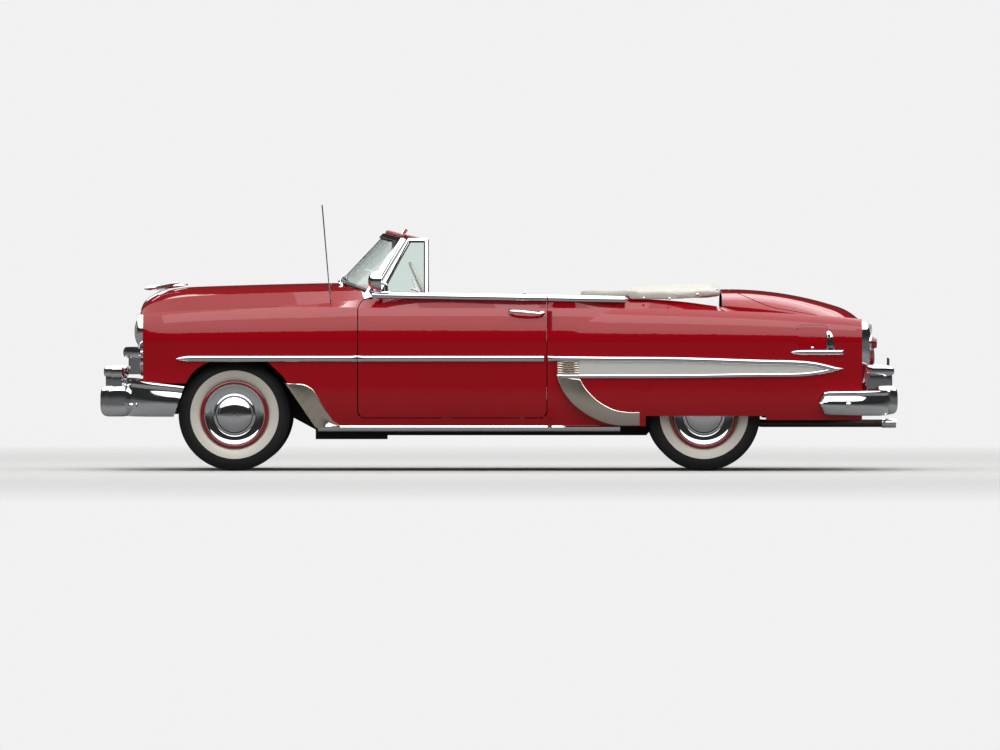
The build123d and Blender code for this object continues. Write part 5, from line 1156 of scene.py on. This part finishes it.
# Engine bay and tailpipe
# Columns: name, place, axis, finish, points around, profile of (radius, along)
bay_parts = (
    ("air_cleaner", (-1.42, 0.0, 0.906), (0, 0, 1), "engine_paint", 64,
     ((pole, 0.072), (0.02, 0.072), (0.03, 0.066), (0.118, 0.062), (0.136, 0.05), (0.138, 0.012),
      (0.12, 0.0), (0.05, -0.004))),
    ("air_cleaner_nut", (-1.42, 0.0, 0.975), (0, 0, 1), "chrome", 24,
     ((pole, 0.02), (0.01, 0.018), (0.014, 0.006), (0.012, -0.002))),
    ("battery_post_0", (-1.265, 0.33, 0.76), (0, 0, 1), "satin", 24,
     ((0.012, -0.002), (0.01, 0.018), (pole, 0.019))),
    ("battery_post_1", (-1.145, 0.33, 0.76), (0, 0, 1), "satin", 24,
     ((0.012, -0.002), (0.01, 0.018), (pole, 0.019))),
    ("exhaust_tip", (2.392, -0.3, 0.292), (1, 0, 0), "chrome", 40,
     ((0.024, 0.0), (0.0285, 0.004), (0.0285, 0.088), (0.026, 0.092), (0.0235, 0.088), (0.0235, 0.02))),
)
hose_line = ((-1.86, 0.1, 0.895), (-1.96, 0.1, 0.925), (-2.06, 0.06, 0.9), (-2.105, 0.04, 0.87))


def under_the_lids():
    for name, place, axis, finish, count, profile in bay_parts:
        turned(name, profile, place, axis, finish, "root", count)
    tube("radiator_hose", hose_line, 0.021, "rubber", "root", 32, 18)


cabin_sides()
dashboard_details()
controls()
under_the_lids()

# Surroundings: a pale floor that fades out, and a plain room of soft light
floor_colour, floor_radius, floor_mirror_share = (208, 208, 207), 16.0, 0.35
fade_from, fade_to = 5.0, 14.0
backdrop, ceiling, sky_level = 0.88, 2.6, 1.02
# Columns: height in the sky, level. First what gloss and mirrors see, then what lights the object.
room_stops = ((0.0, 0.05), (0.03, 0.02), (0.1, 0.01), (0.385, 0.012), (0.41, 0.85), (0.6, 1.0))
sky_stops = ((0.0, 0.4), (0.2, 0.46), (0.45, 1.0), (1.0, 1.0))


def make_floor():
    material = bpy.data.materials.new("floor_pale")
    material.use_nodes = True
    tree = material.node_tree
    shader = tree.nodes["Principled BSDF"]
    place = add_node(tree, "ShaderNodeTexCoord").outputs["Object"]
    shade = mixed(tree, noise(tree, place, 1.5), tinted(floor_colour, 0.995), tinted(floor_colour, 1.005))
    seen = add_node(tree, "ShaderNodeLightPath").outputs["Is Camera Ray"]
    dim = mixed(tree, seen, tinted(floor_colour, floor_mirror_share), shade)
    set_inputs(tree, shader, {"Base Color": dim, "Roughness": 0.85, "Specular IOR Level": 0.1})
    reach = add_node(tree, "ShaderNodeVectorMath", {0: place}, operation="LENGTH").outputs["Value"]
    fade = add_node(tree, "ShaderNodeMapRange", {"Value": reach, "From Min": fade_from, "From Max": fade_to})
    clear = add_node(tree, "ShaderNodeBsdfTransparent").outputs["BSDF"]
    blend = add_node(tree, "ShaderNodeMixShader", {0: fade.outputs["Result"], 1: shader.outputs["BSDF"],
        2: clear})
    set_inputs(tree, tree.nodes["Material Output"], {"Surface": blend.outputs["Shader"]})
    mesh = bpy.data.meshes.new("floor")
    ring = [(floor_radius * cos(a), floor_radius * sin(a), 0) for a in turns(96)]
    mesh.from_pydata(ring, [], [list(range(len(ring)))])
    mesh.materials.append(material)
    placed("floor", mesh)


def make_world():
    """Rays that light the object see a plain level; mirrors and gloss see a room with a bright ceiling."""
    world = bpy.data.worlds.new("studio")
    bpy.context.scene.world = world
    world.use_nodes = True
    tree = world.node_tree
    tree.nodes.clear()
    direction = add_node(tree, "ShaderNodeTexCoord").outputs["Generated"]
    height = add_node(tree, "ShaderNodeSeparateXYZ", {0: direction}).outputs["Z"]

    def sky(stops, strength):
        ramp = add_node(tree, "ShaderNodeValToRGB", {"Fac": height})
        elements = ramp.color_ramp.elements
        while len(elements) < len(stops):
            elements.new(0.5)
        for element, (position, level) in zip(elements, stops):
            element.position = position
            element.color = (level, level, level, 1)
        return multiplied(tree, "ShaderNodeVectorMath", "Vector", ramp.outputs["Color"], (strength,) * 3)
    rays = add_node(tree, "ShaderNodeLightPath").outputs
    pale = (backdrop, backdrop, backdrop, 1)
    seen = mixed(tree, rays["Is Glossy Ray"], sky(sky_stops, sky_level), sky(room_stops, ceiling))
    for ray in ("Is Camera Ray", "Is Transmission Ray"):
        seen = mixed(tree, rays[ray], seen, pale)
    back = add_node(tree, "ShaderNodeBackground", {"Color": seen})
    add_node(tree, "ShaderNodeOutputWorld", {"Surface": back.outputs["Background"]})


def add_light(name, place, target, size, power):
    data = bpy.data.lights.new(name, "AREA")
    data.shape = "RECTANGLE"
    data.size, data.size_y = size
    data.energy = power
    light = placed(name, data)
    light.location = place
    light.rotation_euler = (Vector(target) - Vector(place)).to_track_quat("-Z", "Y").to_euler()


make_floor()
make_world()
# Columns: name, place, target, size, watts
for row in (("ceiling_softbox", (0, -2.6, 5.2), (0, -0.2, 0.8), (7.5, 2.2), 90),
            ("far_softbox", (0, 3.4, 5.0), (0, 0.2, 0.8), (7.5, 2.2), 60)):
    add_light(*row)

bpy.context.scene.view_settings.view_transform = "Standard"
